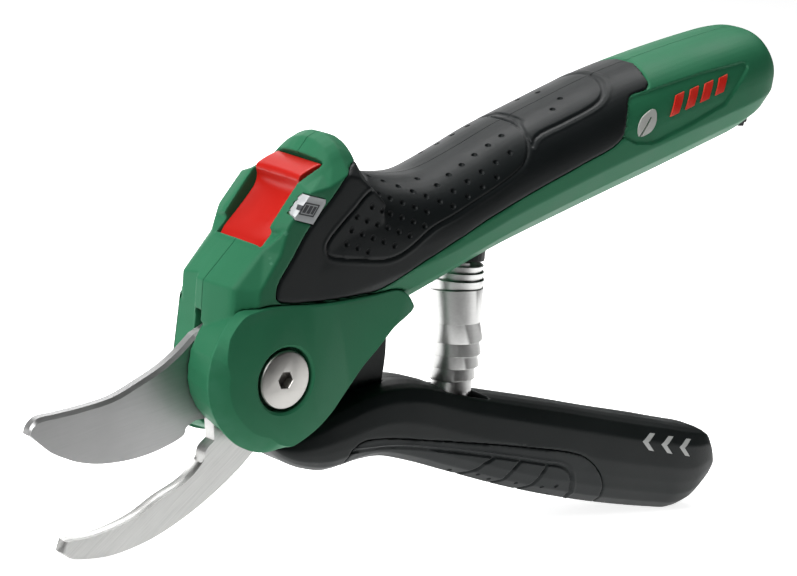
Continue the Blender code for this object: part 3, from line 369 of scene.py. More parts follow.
def shell_points(piece):
    mesh = piece.data
    at, out = np.zeros(len(mesh.vertices) * 3), np.zeros(len(mesh.vertices) * 3)
    mesh.vertices.foreach_get("co", at)
    mesh.vertex_normals.foreach_get("vector", out)
    return at.reshape(-1, 3), out.reshape(-1, 3)


def set_points(piece, at):
    piece.data.vertices.foreach_set("co", at.ravel())
    piece.data.update()
    return piece


def relief(piece, amount):
    """Moves the skin along its normal by amount(points, normals), in millimetres."""
    at, out = shell_points(piece)
    at = at + out * amount(at, out)[:, None]
    return set_points(piece, at)


def span_distance(p, a, b):
    d = b - a
    t = np.clip(((p - a) @ d) / (d @ d), 0, 1)
    return np.linalg.norm(p - a - t[:, None] * d, axis=1)


def edge_distance(at, outline):
    """How far each point is from a closed side outline, negative inside it."""
    p = at[:, [0, 2]]
    near, crossings = np.full(len(p), 1e9), np.zeros(len(p), bool)
    line = np.array(outline, float)
    for a, b in zip(line, np.roll(line, -1, axis=0)):
        d = b - a
        near = np.minimum(near, span_distance(p, a, b))
        if a[1] != b[1]:
            spans = (a[1] > p[:, 1]) != (b[1] > p[:, 1])
            crossings ^= spans & (p[:, 0] < a[0] + (p[:, 1] - a[1]) * d[0] / d[1])
    return np.where(crossings, -near, near)


def ramp(value, low, high):
    t = np.clip((value - low) / (high - low), 0, 1)
    return t * t * (3 - 2 * t)


def dress(piece, surface, crease):
    """The finished piece in its place: metres, smooth shading with crisp edges, and its finish."""
    set_points(piece, shell_points(piece)[0] * MM + PIVOT)
    if volume_of(piece.data) < 0:
        piece.data.flip_normals()
    piece.data.materials.clear()
    piece.data.materials.append(surface)
    piece.data.shade_smooth()
    piece.data.set_sharp_from_angle(angle=math.radians(crease))


def fit(piece, body, surface, slot, *nodes, crease=38.0):
    dress(piece, surface, crease)
    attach(piece, body)
    if nodes:
        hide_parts(*nodes)
    return piece


def handle_loop(x, top, bottom, half, inset):
    """The upper handle's section: a round back on a belly of flat facets."""
    top, bottom, half = top - inset, bottom + inset, half - inset
    tall = top - bottom
    middle = bottom + 0.52 * tall
    loop = []
    for k in range(29):
        t = math.pi * k / 28
        y = half * math.copysign(abs(math.cos(t)) ** 0.8, math.cos(t))
        loop.append((x, y, middle + (top - middle) * math.sin(t) ** 0.9))
    belly = [(-0.985, 0.34), (-0.80, 0.15), (-0.48, 0.0), (0.48, 0.0), (0.80, 0.15), (0.985, 0.34)]
    return loop + [(x, share * half, bottom + rise * tall) for share, rise in belly]


def handle_form(name, inset, end=200.0):
    stations = [s for s in flow(HANDLE_STATIONS, 6) if s[0] <= end]
    return loft(name, [handle_loop(x, top, low, share * HALF_WIDTH, inset) for x, top, low, share in stations])


def head_form(name, inset):
    """The head's side outline at steps across its width, drawn in and lowered towards the sides."""
    steps = [(0, 0, 0), (0.18, 0.25, 0.1), (0.36, 0.6, 0.8), (0.5, 0.85, 1.7), (0.62, 1.1, 2.9), (0.70, 1.4, 4.0),
             (0.76, 2, 5), (1, 6.9, 8.6)]
    outline = grown(HEAD_OUTLINE, -inset) if inset else HEAD_OUTLINE
    loops = []
    for share, front, roof in [(-s, f, r) for s, f, r in reversed(steps)] + steps[1:]:
        loop = []
        for (x, z), (true_x, true_z) in zip(outline, HEAD_OUTLINE):
            low = max(0.25, min(1.0, (40.0 - true_z) / 14.0))
            moved = x + front * low * clamped((5.0 - true_x) / 12.0)
            loop.append((moved, share * (HEAD_HALF - inset), z - roof * clamped((true_z - 46) / 12)))
        loops.append(loop)
    return loft(name, loops)


def upper_form(name, inset):
    return carve(handle_form(name, inset), head_form("head", inset), operation="UNION")


def grip_region(name, by):
    return slab(name, grown(flow(GRIP_EDGE, 4) + [(119.5, 100), (19.5, 100)], by))


def halves(whole, name):
    """The left and the right half of a form, cut clean at the parting plane."""
    pair = []
    for side, low, high in (("left", SEAM, 60.0), ("right", -60.0, -SEAM)):
        half = placed(f"{name}_{side}", whole.data.copy())
        pair.append(carve(half, block("half", (50, (low + high) / 2, 20), (400, high - low, 300)),
                          operation="INTERSECT"))
    bpy.data.objects.remove(whole, do_unlink=True)
    return pair


cover_smooth = flow(COVER_OUTLINE, 4, closed=True)
body = upper_form("body", 0.0)
carve(body, grip_region("grip_recess", REVEAL))
plates = layered("plates", COVER_OUTLINE, ((-SHELL_SIDE, -0.4), (0.0, -2.4), (SHELL_SIDE, -0.4)))
carve(body, upper_form("core", GRIP_DEPTH + GAP), plates, operation="UNION")
DRIVE_TILT, CELL_TILT = math.radians(23.3), math.radians(18.7)
side = SLIDER_HALF + GAP
blade_room = [(-34, 14.9), (-34, -40), (50, -40), (50, -8), (43.5, 14)]
blade_room += arc(39, math.radians(28), math.radians(78), 12) + [(3, 17), (-6, 14.9)]
lever_room = [(13, -30), (50, -30), (50, -2)] + arc(43.6, 0.0, math.radians(44), 12)
lever_room += arc(37.45, math.radians(46), math.radians(88), 12) + arc(14.4, math.radians(84), math.radians(-60), 12)
HOOK_ROOT = [(3, -19.5), (9, -11), (13.3, -3), (12, 6), (5, 12.5), (-4, 13.3), (-12, 9), (-14.3, 0), (-13.3, -9)]
hook_room = [(-11.5, -17.6), (-13.7, -19.8), (-14.1, -22.5), (-14.8, -35), (-7.9, -30), (-2.4, -25.3)] + HOOK_ROOT
carve(
    body,
    handle_form("hollow", GRIP_DEPTH + WALL + GAP, 160.0),
    turned("drive_room", [(14.5, -9.2), (14.5, 9.2)], CROSS),
    slab("head_room", HEAD_ROOM, -10.9, 10.9),
    slab("well", SLIDER_WELL, -side, side),
    slab("far_front", [(-40, 24.5), (-16.6, 24.5), (-16.0, 12), (-16.0, -30), (-40, -30)], 3.45, 30),
    slab("step_left", GUARD_STEP, side - 0.1, 30),
    slab("step_right", GUARD_STEP, -30, 0.1 - side),
    slab("lock_room", [(-9.8, 25.6), (-2.8, 35), (0.3, 33.4), (-3, 17.8), (-9.4, 17.8)], -2.3, 2.3),
    slab("hook_room", grown(hook_room, GAP), HOOK_SIDES[0] - GAP, 1.0),
    slab("blade_room", blade_room, 0.05, BLADE_SIDES[1] + GAP),
    slab("lever_room", lever_room, FIN_SIDES[0] - GAP, 7.15),
    bore("bolt_bore", BOLT_BORE),
    slab("window_seat", grown(WINDOW, 0.15), -30, -11.0),
    turned("drive_seat", [(10.4, 11.5), (10.4, 63)], CROSS, tilt=DRIVE_TILT),
    turned("cell_seat", [(9.5, -3), (9.5, 67.5)], (90, 54.7), tilt=CELL_TILT),
    turned("bush_seats", [(4.5, -12.3), (4.5, 12.3)], CROSS),
    turned("cup_seat", [(5.9, 10), (5.9, 30.6)], (67, 0), tilt=math.pi / 2),
    block("socket_seat", (158.4, 0, 70), (3.8, 9.6, 6.2)),
    block("socket_mouth", (158.4, 0, 60.2), (5.2, 10.8, 13.9)),
)
for y_side in (-1, 1):
    carve(body, slab("cover_recess", grown(cover_smooth, REVEAL), y_side * SHELL_SIDE, y_side * 30))
for x, z, outer in HOUSING_SCREWS:
    carve(body, turned("screw_seat", [(2.9, outer - 3.0), (2.9, outer - 0.4), (3.3, outer + 0.2), (3.3, 30)], (x, z)))
moulded(body, 0.40, 2)


def shell_relief(at, out):
    """The end panel, let in by half a millimetre on both sides."""
    sides = np.abs(out[:, 1]) > 0.3
    deep = ramp(-edge_distance(at, PANEL), 0.0, 0.45)
    return -0.6 * deep * sides * (np.abs(at[:, 1]) > 11.0)


relief(body, shell_relief)


def group(name, kind, inputs, outputs):
    """A node group with named input and output sockets, and its group input's sockets and group output."""
    tree = bpy.data.node_groups.new(name, kind)
    for socket, socket_kind, value in inputs:
        made = tree.interface.new_socket(socket, in_out="INPUT", socket_type=socket_kind)
        if value is not None:
            made.default_value = value
    for socket, socket_kind in outputs:
        tree.interface.new_socket(socket, in_out="OUTPUT", socket_type=socket_kind)
    return tree, tree.nodes.new("NodeGroupInput").outputs, tree.nodes.new("NodeGroupOutput")


def grouped(tree, inner, **values):
    made = tree.nodes.new("ShaderNodeGroup")
    made.node_tree = inner
    return feed(tree, made, values).outputs


FLOAT, VECTOR = "NodeSocketFloat", "NodeSocketVector"
grain, given, result = group(
    "spark_grain", "ShaderNodeTree", [("Vector", VECTOR, None), ("Scale", FLOAT, 2600.0), ("Blotch", FLOAT, 70.0)],
    [("Height", FLOAT), ("Blotch", FLOAT)])
fine = noise(grain, given["Scale"], 2.0, 0.6, Vector=given["Vector"])
pits = wire(grain, "ShaderNodeTexVoronoi", {"Vector": given["Vector"], "Scale": given["Scale"]})
slow = noise(grain, given["Blotch"], 3.0, Vector=given["Vector"])
feed(grain, result, {"Height": wire(grain, "ShaderNodeMath", {0: fine, 1: pits}), "Blotch": slow})

# Sharp edges found by pointiness, in patches: a mask for colour that is partly edge wear and partly a painted
# highlight along the edges.
wear_and_highlight, given, result = group("rubbed_edges", "ShaderNodeTree",
                          [("Vector", VECTOR, None), ("From", FLOAT, 0.53), ("To", FLOAT, 0.62)], [("Mask", FLOAT)])
edges = span(wear_and_highlight, wire(wear_and_highlight, "ShaderNodeNewGeometry").outputs["Pointiness"], given["From"], given["To"])
patchy = noise(wear_and_highlight, 240.0, 5.0, Vector=given["Vector"])
feed(wear_and_highlight, result, {"Mask": product(wear_and_highlight, edges, span(wear_and_highlight, patchy, 0.35, 0.65))})


def tinted(colour, by):
    return tuple(min(1.0, c * by) for c in colour)


def moulding(name, colour, edge_wear_and_highlight_colour, roughness, scale=2600.0, bump=0.25, coat=0.0, sheen=0.0, shine=0.3):
    """Moulded plastic or rubber: spark grain, slow patches of colour and gloss, and lighter edges that are partly wear
    and partly a painted highlight.
    """
    made, tree, shader, place = surface_of(name)
    skin = grouped(tree, grain, Vector=place, Scale=scale)
    edge_wear_and_highlight_mask = product(tree, grouped(tree, wear_and_highlight, Vector=place)["Mask"], 0.5)
    patches = blend_of(tree, skin["Blotch"], tinted(colour, 0.9), tinted(colour, 1.1))
    feed(tree, shader, {
        # The edge colour is partly edge wear and partly a painted highlight along the edges.
        "Base Color": blend_of(tree, edge_wear_and_highlight_mask, patches, edge_wear_and_highlight_colour),
        "Roughness": span(tree, skin["Blotch"], 0.3, 0.7, roughness - 0.05, roughness + 0.05),
        "Normal": wire(tree, "ShaderNodeBump", {"Height": skin["Height"], "Strength": bump, "Distance": 0.00006}),
        "Coat Weight": coat, "Sheen Weight": sheen, "Specular IOR Level": shine})
    return made


# The second colour of each moulding goes on its edges: partly wear and partly a painted highlight.
green = moulding("green_nylon", (0.026, 0.165, 0.080), (0.10, 0.30, 0.19), 0.50, shine=0.13)
for half in halves(body, "shell"):
    fit(half, "housing", green, "green_plastic", half.name.replace("shell", "housing"))

# The grip: soft black elastomer, 2 mm thick, in two halves let into the shells. A plain collar runs behind the
# head; the pads behind it are dimpled, and each is framed by a groove with a fine raised line outside it.
FRONT_PAD = [
    (25.4, 49.8), (19.8, 46.9), (16, 42.9), (12, 38.7), (9.4, 35.7), (8.4, 33.4), (9.6, 31.3), (13.6, 30.5),
    (18.9, 30.2), (27.2, 30), (30.9, 30.9), (34.3, 32.7), (41.2, 37.9), (48.1, 41.2), (54.9, 44.9), (61.9, 48.7),
    (67.5, 52.1), (70.5, 54.6), (72.4, 57.8), (73.6, 60.7), (75.1, 63.2), (76.4, 64.1),
]
REAR_PAD = [
    (74, 58.6), (76, 60.7), (84.9, 64.5), (92.8, 67.8), (96.9, 69.8), (99.7, 71.8), (101.6, 73.6),
    (103, 74.8), (103.9, 75.8),
]
front_pad = flow(FRONT_PAD, 4) + [(76.4, 95), (25.4, 95)]
rear_pad = flow(REAR_PAD, 4) + [(103.9, 95), (74.0, 95)]


def pad_relief(at, out):
    """A groove along each pad's frame, and a fine raised line just outside it, on the outer skin only."""
    pads = [edge_distance(at, pad) for pad in (front_pad, rear_pad)]
    signed = np.min(pads, axis=0)
    groove = -0.36 * (1 - ramp(np.min(np.abs(pads), axis=0), 0.05, 0.5))
    line = 0.12 * ramp(signed, 0.7, 1.0) * (1 - ramp(signed, 1.0, 1.5))
    middle = np.interp(at[:, 0], [s[0] for s in HANDLE_STATIONS], [(s[1] + s[2]) / 2 for s in HANDLE_STATIONS])
    outer = out[:, 1] * at[:, 1] + out[:, 2] * (at[:, 2] - middle) > 0
    return (groove + line) * outer


grip = grip_region("grip", 0.0)
moulded(between(grip, upper_form, 0.0, GRIP_DEPTH), 0.38, 9)


def grow(points, tree, **values):
    """A mesh from a Geometry Nodes tree on an object, with the tree's inputs set by their identifiers."""
    step = points.modifiers.new(tree.name, "NODES")
    step.node_group = tree
    names = {item.name: item.identifier for item in tree.interface.items_tree
             if item.item_type == "SOCKET" and item.in_out == "INPUT"}
    for name, value in values.items():
        step[names[name]] = value
    points.update_tag()
    bpy.context.view_layer.update()
    return settle(points)


GEOMETRY, OBJECT, MATERIAL = "NodeSocketGeometry", "NodeSocketObject", "NodeSocketMaterial"
dimples, given, result = group(
    "dimples", "GeometryNodeTree",
    [("Geometry", GEOMETRY, None), ("Skin", OBJECT, None), ("Side", FLOAT, 1.0), ("Radius", FLOAT, 1.1),
     ("Proud", FLOAT, 0.45), ("Finish", MATERIAL, None)], [("Geometry", GEOMETRY)])
skin_info = wire(dimples, "GeometryNodeObjectInfo", {"Object": given["Skin"]})
inward = wire(dimples, "ShaderNodeCombineXYZ", {"Y": given["Side"]})
struck = wire(dimples, "GeometryNodeRaycast", {"Target Geometry": skin_info.outputs["Geometry"],
                                               "Ray Direction": inward, "Ray Length": 80.0}).outputs
lift = wire(dimples, "ShaderNodeVectorMath", {0: struck["Hit Normal"], "Scale": given["Proud"]}, operation="SCALE")
seated = wire(dimples, "ShaderNodeVectorMath", {0: struck["Hit Position"], 1: lift}, operation="ADD")
missed = wire(dimples, "FunctionNodeBooleanMath", {0: struck["Is Hit"]}, operation="NOT")
kept = wire(dimples, "GeometryNodeDeleteGeometry", {"Geometry": given["Geometry"], "Selection": missed})
moved = wire(dimples, "GeometryNodeSetPosition", {"Geometry": kept, "Selection": struck["Is Hit"], "Position": seated})
pearl = wire(dimples, "GeometryNodeMeshIcoSphere", {"Radius": given["Radius"], "Subdivisions": 3})


def laid_out(tree, points, shape, finish, result, **turns):
    """One shape on every point, made real and given its finish, as the tree's result."""
    strewn = wire(tree, "GeometryNodeInstanceOnPoints", {"Points": points, "Instance": shape, **turns})
    real = wire(tree, "GeometryNodeRealizeInstances", {0: strewn})
    feed(tree, result, {0: wire(tree, "GeometryNodeSetMaterial", {0: real, "Material": finish})})


laid_out(dimples, moved, pearl, given["Finish"], result)


def dimpled(piece, spots, y_side, finish, radius=0.95, proud=0.4):
    """Round dimples pressed into one side of a soft skin at each spot."""
    pearls = bare_object("pearls", [(x, y_side * 40.0, z) for x, _, z in spots])
    grow(pearls, dimples, Skin=piece, Side=-float(y_side), Radius=radius, Proud=proud, Finish=finish)
    return carve(piece, pearls)


black_grip = moulding("soft_black", (0.0075, 0.0100, 0.0105), (0.03, 0.033, 0.034), 0.46, scale=3200.0, bump=0.2,
                      sheen=0.02, shine=0.2)
relief(grip, pad_relief)
along = math.radians(28.0)
turn_pad = np.array([[math.cos(along), -math.sin(along)], [math.sin(along), math.cos(along)]])


PAD_PITCH, PAD_RISE, PAD_EDGE = 5.2, 2.5, 1.8


def pad_spots(outline):
    """A staggered grid of spots inside a pad, in rows along the handle, clear of the pad's edge."""
    flat = np.array(outline) @ turn_pad
    low, high = flat.min(axis=0) + (0.8, 0.6), flat.max(axis=0)
    spots = np.array([(x, 0.0, z) for row, z in enumerate(np.arange(low[1], high[1], PAD_RISE))
                      for x in np.arange(low[0] + row % 2 * PAD_PITCH / 2, high[0], PAD_PITCH)])
    spots = spots[edge_distance(spots, flat) < -PAD_EDGE]
    return np.insert(spots[:, [0, 2]] @ turn_pad.T, 1, 0.0, axis=1)


pad_dimples = np.vstack([pad_spots(front_pad), pad_spots(rear_pad)])
for half, (_, y_side) in zip(halves(grip, "soft_grip"), SIDES):
    dimpled(half, pad_dimples, y_side, black_grip)
    fit(half, "housing", black_grip, "soft_grip", half.name.replace("soft_", ""))

# The pivot covers: a raised plate over each end of the pivot bolt, moulded with the green shells, with a wide
# chamfer at the lower front and a round recess for the bolt head or the nut.
cover_rounds = flow(COVER_OUTLINE, 5, closed=True)


def cover_form(name, y_side):
    rings = []
    for level, small, wide in ((11.3, 0.0, 0.0), (12.0, 0.0, 0.0), (14.85, 0.35, 4.25), (15.0, 0.7, 4.7)):
        ring = []
        for x, z in cover_rounds:
            angle = math.degrees(math.atan2(z, x)) % 360
            near = clamped((angle - 150.0) / 25.0, (285.0 - angle) / 25.0)
            share = 1 - (small + (wide - small) * near) / math.hypot(x, z)
            flush = 1.35 * ramp(x, 20.0, 38.0) * (level > 14.0)
            front = max(x * share, -15.8 + 0.9 * (level - 11.3)) if y_side > 0 else x * share
            ring.append((front, y_side * (level - flush), z * share))
        rings.append(ring)
    recess = [(8.4, 8), (8.4, 14.3), (8.75, 14.75), (9.3, 15.2), (9.3, 30)]
    return carve(loft(name, rings), turned("recess", [(r, y_side * y) for r, y in recess]))


for side_name, y_side in SIDES:
    fit(cover_form("cover_" + side_name, y_side), "housing", green, "green_plastic", "pivot_cover_" + side_name,
        crease=24)

# The red lock slider: one glossy moulding, dished from side to side, with a ledge for the thumb at its top and a
# long hollow below it. It slides down the front of the head to hold the lever shut.
SLIDER_FACE = [
    (7.9, 53.3), (5.2, 52.3), (2.9, 51.1), (1.6, 50.2), (1.2, 49.2), (1.9, 47), (1.4, 44.7), (-0.5, 41.9),
    (-3.2, 38.4), (-5.2, 36), (-6.6, 34.2), (-7.4, 32.6), (-7.9, 31.2),
]
SLIDER_BACK = [(-6.9, 30.2), (0.2, 38.4), (4.7, 43.8), (8.2, 48.4), (9.6, 51.4)]
slider_loops = []
for step in range(-12, 13):
    y = step / 12 * SLIDER_HALF
    dish = 1.0 - (step / 12) ** 2
    loop = []
    for x, z in flow(SLIDER_FACE[:5], 4)[:-1] + flow(SLIDER_FACE[4:], 6):
        share = clamped((50.5 - z) / 18.0)
        deep = 1.0 * dish * math.sin(math.pi * share) ** 0.6
        loop.append((x + 0.83 * deep, y, z - 0.56 * deep))
    slider_loops.append(loop + [(x, y, z) for x, z in SLIDER_BACK])
red_gloss = moulding("red_gloss", (0.52, 0.012, 0.007), (0.85, 0.12, 0.07), 0.34, scale=1800.0, bump=0.06, coat=0.08)
slider = moulded(loft("slider", slider_loops), 0.25, 3)
fit(slider, "lock", red_gloss, "red_plastic", "lock_slider")

# The charge window: a silver lens flush with the near side of the head, with a battery sign let into it.
LENS_SIDE = -11.4
window = between(slab("window", WINDOW, -30, LENS_SIDE), upper_form, 0.05, 0.9)
SIGN_AT, SIGN_UP, SIGN_ACROSS = (1.15, 42.95), (0.50, 0.866), (0.985, -0.17)


def sign_bar(name, left, right, tall, low=-30, high=LENS_SIDE):
    return slab(name, [[SIGN_AT[k] + SIGN_ACROSS[k] * across + SIGN_UP[k] * up for k in (0, 1)] for across, up in
                       ((left, -tall), (right, -tall), (right, tall), (left, tall))], low, high)


sign = sign_bar("charge_sign", -2.3, 2.5, 1.75)
carve(sign, sign_bar("sign_inside", -1.95, 2.15, 1.4, -31, -7))
for left, right, tall in ((-2.9, -2.2, 0.7), (-1.6, -0.6, 1.1), (-0.25, 0.75, 1.1), (1.1, 1.9, 1.1)):
    carve(sign, sign_bar("sign_cell", left, right, tall), operation="UNION")
sign_tool = placed("sign_tool", sign.data.copy())
between(sign, upper_form, 0.0, 0.3)
carve(window, carve(sign_tool, upper_form("sign_floor", 0.3)))
silver_lens = moulding("silver_lens", (0.50, 0.52, 0.53), (0.7, 0.72, 0.73), 0.22, scale=900.0, bump=0.03, coat=0.6)
dark_print = moulding("dark_print", (0.045, 0.05, 0.055), (0.1, 0.1, 0.11), 0.4, scale=900.0, bump=0.03)
fit(window, "housing", silver_lens, "window", "indicator_window")
fit(sign, "housing", dark_print, "window")

# The marks on the near and far end panels: four slanted red bars and one pale leaf, both raised a little. They
# are plain decoration, moulded on and printed, and hold no words.
bars = []
for k in range(4):
    x, z = 119.6 + 5.4 * k, 66.9 + 1.95 * k
    tall = 5.6 - 0.35 * k
    bars.append([(x, z), (x + 3.0, z + 1.1), (x + 3.0 + 0.36 * tall, z + 1.1 + tall), (x + 0.36 * tall, z + tall)])
leaf, vein = ([(111.6 + u * 0.94 - v * 0.34, 64.9 + u * 0.34 + v * 0.94) for u, v in outline] for outline in
              (flow([(-3.6, -2.2), (-3.2, 0.6), (-1.0, 2.4), (3.6, 2.9), (3.0, -0.4), (0.8, -2.3)], 5, closed=True),
               [(-4.6, -3.0), (-4.1, -3.3), (1.9, 1.2), (1.5, 1.6)]))
red_print = moulding("red_print", (0.72, 0.022, 0.012), (0.85, 0.15, 0.1), 0.36, scale=1500.0, bump=0.05)
pale_print = moulding("pale_print", (0.52, 0.53, 0.50), (0.7, 0.7, 0.68), 0.42, scale=1500.0, bump=0.05)
for side_name, y_side in SIDES:
    whole = slab("bars_" + side_name, bars[0], y_side * 8, y_side * 30)
    for bar in bars[1:]:
        carve(whole, slab("stroke", bar, y_side * 8, y_side * 30), operation="UNION")
    fit(between(whole, upper_form, 0.22, 0.75), "housing", red_print, "red_plastic")
    mark = slab("leaf_" + side_name, leaf, y_side * 8, y_side * 30)
    carve(mark, slab("vein", vein, y_side * 7, y_side * 31))
    fit(between(mark, upper_form, 0.26, 0.75), "housing", pale_print, "window")

# The bolt stack: a nickel-plated hexagon socket bolt from the near side, a washer and a thin hexagon nut on the
# far side. Edges are turned with a small chamfer, and the faces keep fine turning rings.
streaks, given, result = group(
    "streaks", "ShaderNodeTree", [("Vector", VECTOR, None), ("Angle", FLOAT, 0.0), ("Scale", FLOAT, 700.0)],
    [("Lines", FLOAT), ("Cloud", FLOAT)])
turned_at = wire(streaks, "ShaderNodeVectorRotate", {"Vector": given["Vector"], "Angle": given["Angle"]},
                 rotation_type="Y_AXIS")
stretched = wire(streaks, "ShaderNodeVectorMath", {0: turned_at, 1: (0.03, 1.0, 1.0)}, operation="MULTIPLY")
feed(streaks, result, {"Lines": noise(streaks, given["Scale"], 6.0, 0.7, Vector=stretched),
                       "Cloud": noise(streaks, 60.0, 4.0, Vector=given["Vector"])})


def metal(name, colour, roughness, angle=0.0, scale=2600.0, contrast=0.12, bump=0.12, stains=0.0):
    """Bare or plated metal: fine lines one way, slow clouds of tone and gloss, and brighter edges that are partly wear
    and partly a painted highlight.
    """
    made, tree, shader, place = surface_of(name)
    worked = grouped(tree, streaks, Vector=place, Angle=angle, Scale=scale)
    edge_wear_and_highlight_mask = product(tree, grouped(tree, wear_and_highlight, Vector=place, From=0.54, To=0.64)["Mask"], 0.6)
    lined = span(tree, worked["Lines"], 0.35, 0.65)
    base = blend_of(tree, lined, tinted(colour, 1 - contrast), tinted(colour, 1 + contrast))
    clouded = span(tree, worked["Cloud"], 0.5, 0.75, 0.0, 0.7)
    toned = blend_of(tree, clouded, base, tinted(colour, 1 - stains))
    feed(tree, shader, {
        # Brighter edges: partly edge wear, partly a painted highlight along the edges.
        "Base Color": blend_of(tree, edge_wear_and_highlight_mask, toned, tinted(colour, 1.25)), "Metallic": 1.0,
        "Roughness": span(tree, worked["Lines"], 0.3, 0.7, roughness - 0.06, roughness + 0.06),
        "Normal": wire(tree, "ShaderNodeBump", {"Height": worked["Lines"], "Strength": bump, "Distance": 0.00003})})
    return made


nickel = metal("nickel_plate", (0.46, 0.45, 0.43), 0.38, scale=1500.0, contrast=0.03, bump=0.03, stains=0.05)
machined = metal("machined_steel", (0.50, 0.50, 0.50), 0.36, angle=0.7, stains=0.2)
bolt = turned("bolt", [(6.9, -14.8), (7.25, -14.66), (7.5, -14.3), (7.5, -11.3), (4.0, -11.3), (4.0, 14.4),
                       (3.6, 14.8)])
carve(bolt, turned("socket", [(2.31, -12.0), (2.31, -14.6), (2.5, -14.85), (2.5, -16)], segments=6))
fit(bolt, "housing", nickel, "nickel", "pivot_bolt", crease=30)
nut = turned("nut", [(7.5, 12.4), (7.5, 14.8)], segments=6)
carve(nut, turned("nut_cone", [(6.9, 12.3), (7.5, 12.75), (7.5, 14.35), (6.7, 14.85)]), operation="INTERSECT")
carve(nut, turned("nut_bore", [(4.3, 10), (4.3, 14.3), (4.8, 15)]))
fit(nut, "housing", machined, "machined_steel", "pivot_nut", crease=30)

# The hook: a fixed blade of ground steel under the cutting blade. Its top is hollow-ground and bright, and its
# near face is ground in slanting lines. Two pins and the bolt hold it in the head.
HOOK_TOP = [
    (-11.5, -17.6), (-13.7, -19.8), (-14.1, -22.5), (-16.2, -25.3), (-19.4, -28), (-26.4, -31.7), (-32.4, -35.5),
    (-39.4, -38.3), (-46.5, -40), (-52.8, -40.5),
]
HOOK_BELLY = [
    (-53.5, -43.6), (-51.6, -44.8), (-45.8, -45.4), (-38.5, -45), (-28.9, -42.4), (-21.9, -39.2), (-14.8, -35),
    (-7.9, -30), (-2.4, -25.3),
]
ground = metal("ground_steel", (0.43, 0.43, 0.43), 0.46, angle=0.25, contrast=0.06, bump=0.08, stains=0.15)
slanting = metal("hook_steel", (0.48, 0.48, 0.47), 0.40, angle=0.75, contrast=0.12, stains=0.15)
hook_top = flow(HOOK_TOP[:3], 3)[:-1] + flow(HOOK_TOP[2:], 5)
hook_line = hook_top + flow(HOOK_BELLY, 4) + HOOK_ROOT
hook_amounts = np.array([0.0] * len(hook_top) + [1.0] * (len(hook_line) - len(hook_top)))
edge_amounts = np.array([float(p[0] < -14.5) for p in hook_top] + [0.0] * (len(hook_line) - len(hook_top)))
hook = layered("hook", hook_line, [
    (y, -(hook_amounts * belly + edge_amounts * top)) for y, belly, top in
    ((-4.0, 0.25, 0.0), (-3.75, 0.0, 0.12), (-3.0, 0.0, 0.5), (-2.1, 0.0, 0.62), (-1.1, 0.0, 0.5), (-0.4, 0.0, 0.12),
     (-0.15, 0.0, 0.0))])
carve(hook, bore("hook_bore", BOLT_BORE))
for centre in ((-9, 8), (-9.4, -9)):
    carve(hook, bore("pin_bore", PIN_BORE, centre))
fit(hook, "housing", slanting, "blade_steel", "hook_blade", crease=24)

# The cutting blade: 3 mm ground steel with a round eye on the pivot bush and a tang riveted into the lower
# handle. The spine has a bright ground chamfer, and the cutting edge is bevelled on the far face only.
BLADE_BACK = [
    (-18.3, 8.6), (-22.5, 4.4), (-27, 0.9), (-33.9, -3), (-40.8, -6.3), (-50.2, -8.5), (-56.8, -9.6), (-62.4, -10.6),
    (-64.2, -12.6), (-64.6, -14.5),
]
BLADE_EDGE = [
    (-61.1, -16.8), (-57.5, -19.1), (-53.4, -20.7), (-49.4, -21.9), (-43.5, -22.7), (-37.6, -22.6), (-31.3, -21.8),
    (-24.1, -19.8), (-18, -16.7), (-17.7, -15.2), (-16.6, -14.2), (-15, -13.2),
]
TANG = [
    (-6, -12.4), (2, -13.6), (22, -19.5), (50, -19.5), (88, -27.5), (92, -26), (91, -22.5), (52, -14.5), (30, -11),
    (13.5, -3),
]
RIVETS = [(20, -11.5), (30, -14.6)]
back_line, edge_line = flow(BLADE_BACK, 5), flow(BLADE_EDGE, 5)
blade_line = back_line + edge_line + TANG + arc(13.5, 0.0, math.radians(125), 24) + [(-12.5, 11.8)]
spare = [0.0] * (len(blade_line) - len(back_line) - len(edge_line))
spine = np.array([min(1.0, (x + 64.6) / 3 + 0.25) for x, _ in back_line] + [0.0] * len(edge_line) + spare)
bevel = np.array([0.0] * len(back_line)
                 + [clamped((x + 63.5) / 12, (-19.0 - x) / 6) for x, _ in edge_line] + spare)
blade = layered("blade", blade_line, [
    (y, -(spine * back + bevel * edge)) for y, back, edge in
    ((0.15, 0.95, 0.0), (0.45, 0.6, 0.0), (0.95, 0.0, 0.55), (2.95, 0.0, 2.7), (3.15, 0.25, 2.95))])
carve(blade, bore("eye", 6.3))
for centre in RIVETS:
    carve(blade, bore("rivet_hole", RIVET_BORE, centre, 24))
fit(blade, "lever", ground, "blade_steel", "cutting_blade", crease=18)

# The black fin: a hard plastic guard plate on the lever that covers the drive sector from the near side and
# slides between the shells.
fin_line = [(15, -14), (24, -17), (38.5, -17.5)] + arc(42.4, math.radians(-24), math.radians(15), 24)
fin_line += arc(36, math.radians(15) + 0.05, math.radians(34), 12) + arc(15.2, math.radians(34), math.radians(-30), 20)
black_hard = moulding("black_nylon", (0.0075, 0.0100, 0.0100), (0.03, 0.033, 0.033), 0.45, scale=2800.0, bump=0.22,
                      shine=0.2)
fin = layered("fin", fin_line, ((FIN_SIDES[0], -0.3), (-2.25, 0.0), (FIN_SIDES[1], 0.0)))
for centre in RIVETS:
    carve(fin, bore("rivet_hole", RIVET_BORE, centre, 24))
fit(fin, "lever", black_hard, "black_plastic", "lever_fin", crease=24)

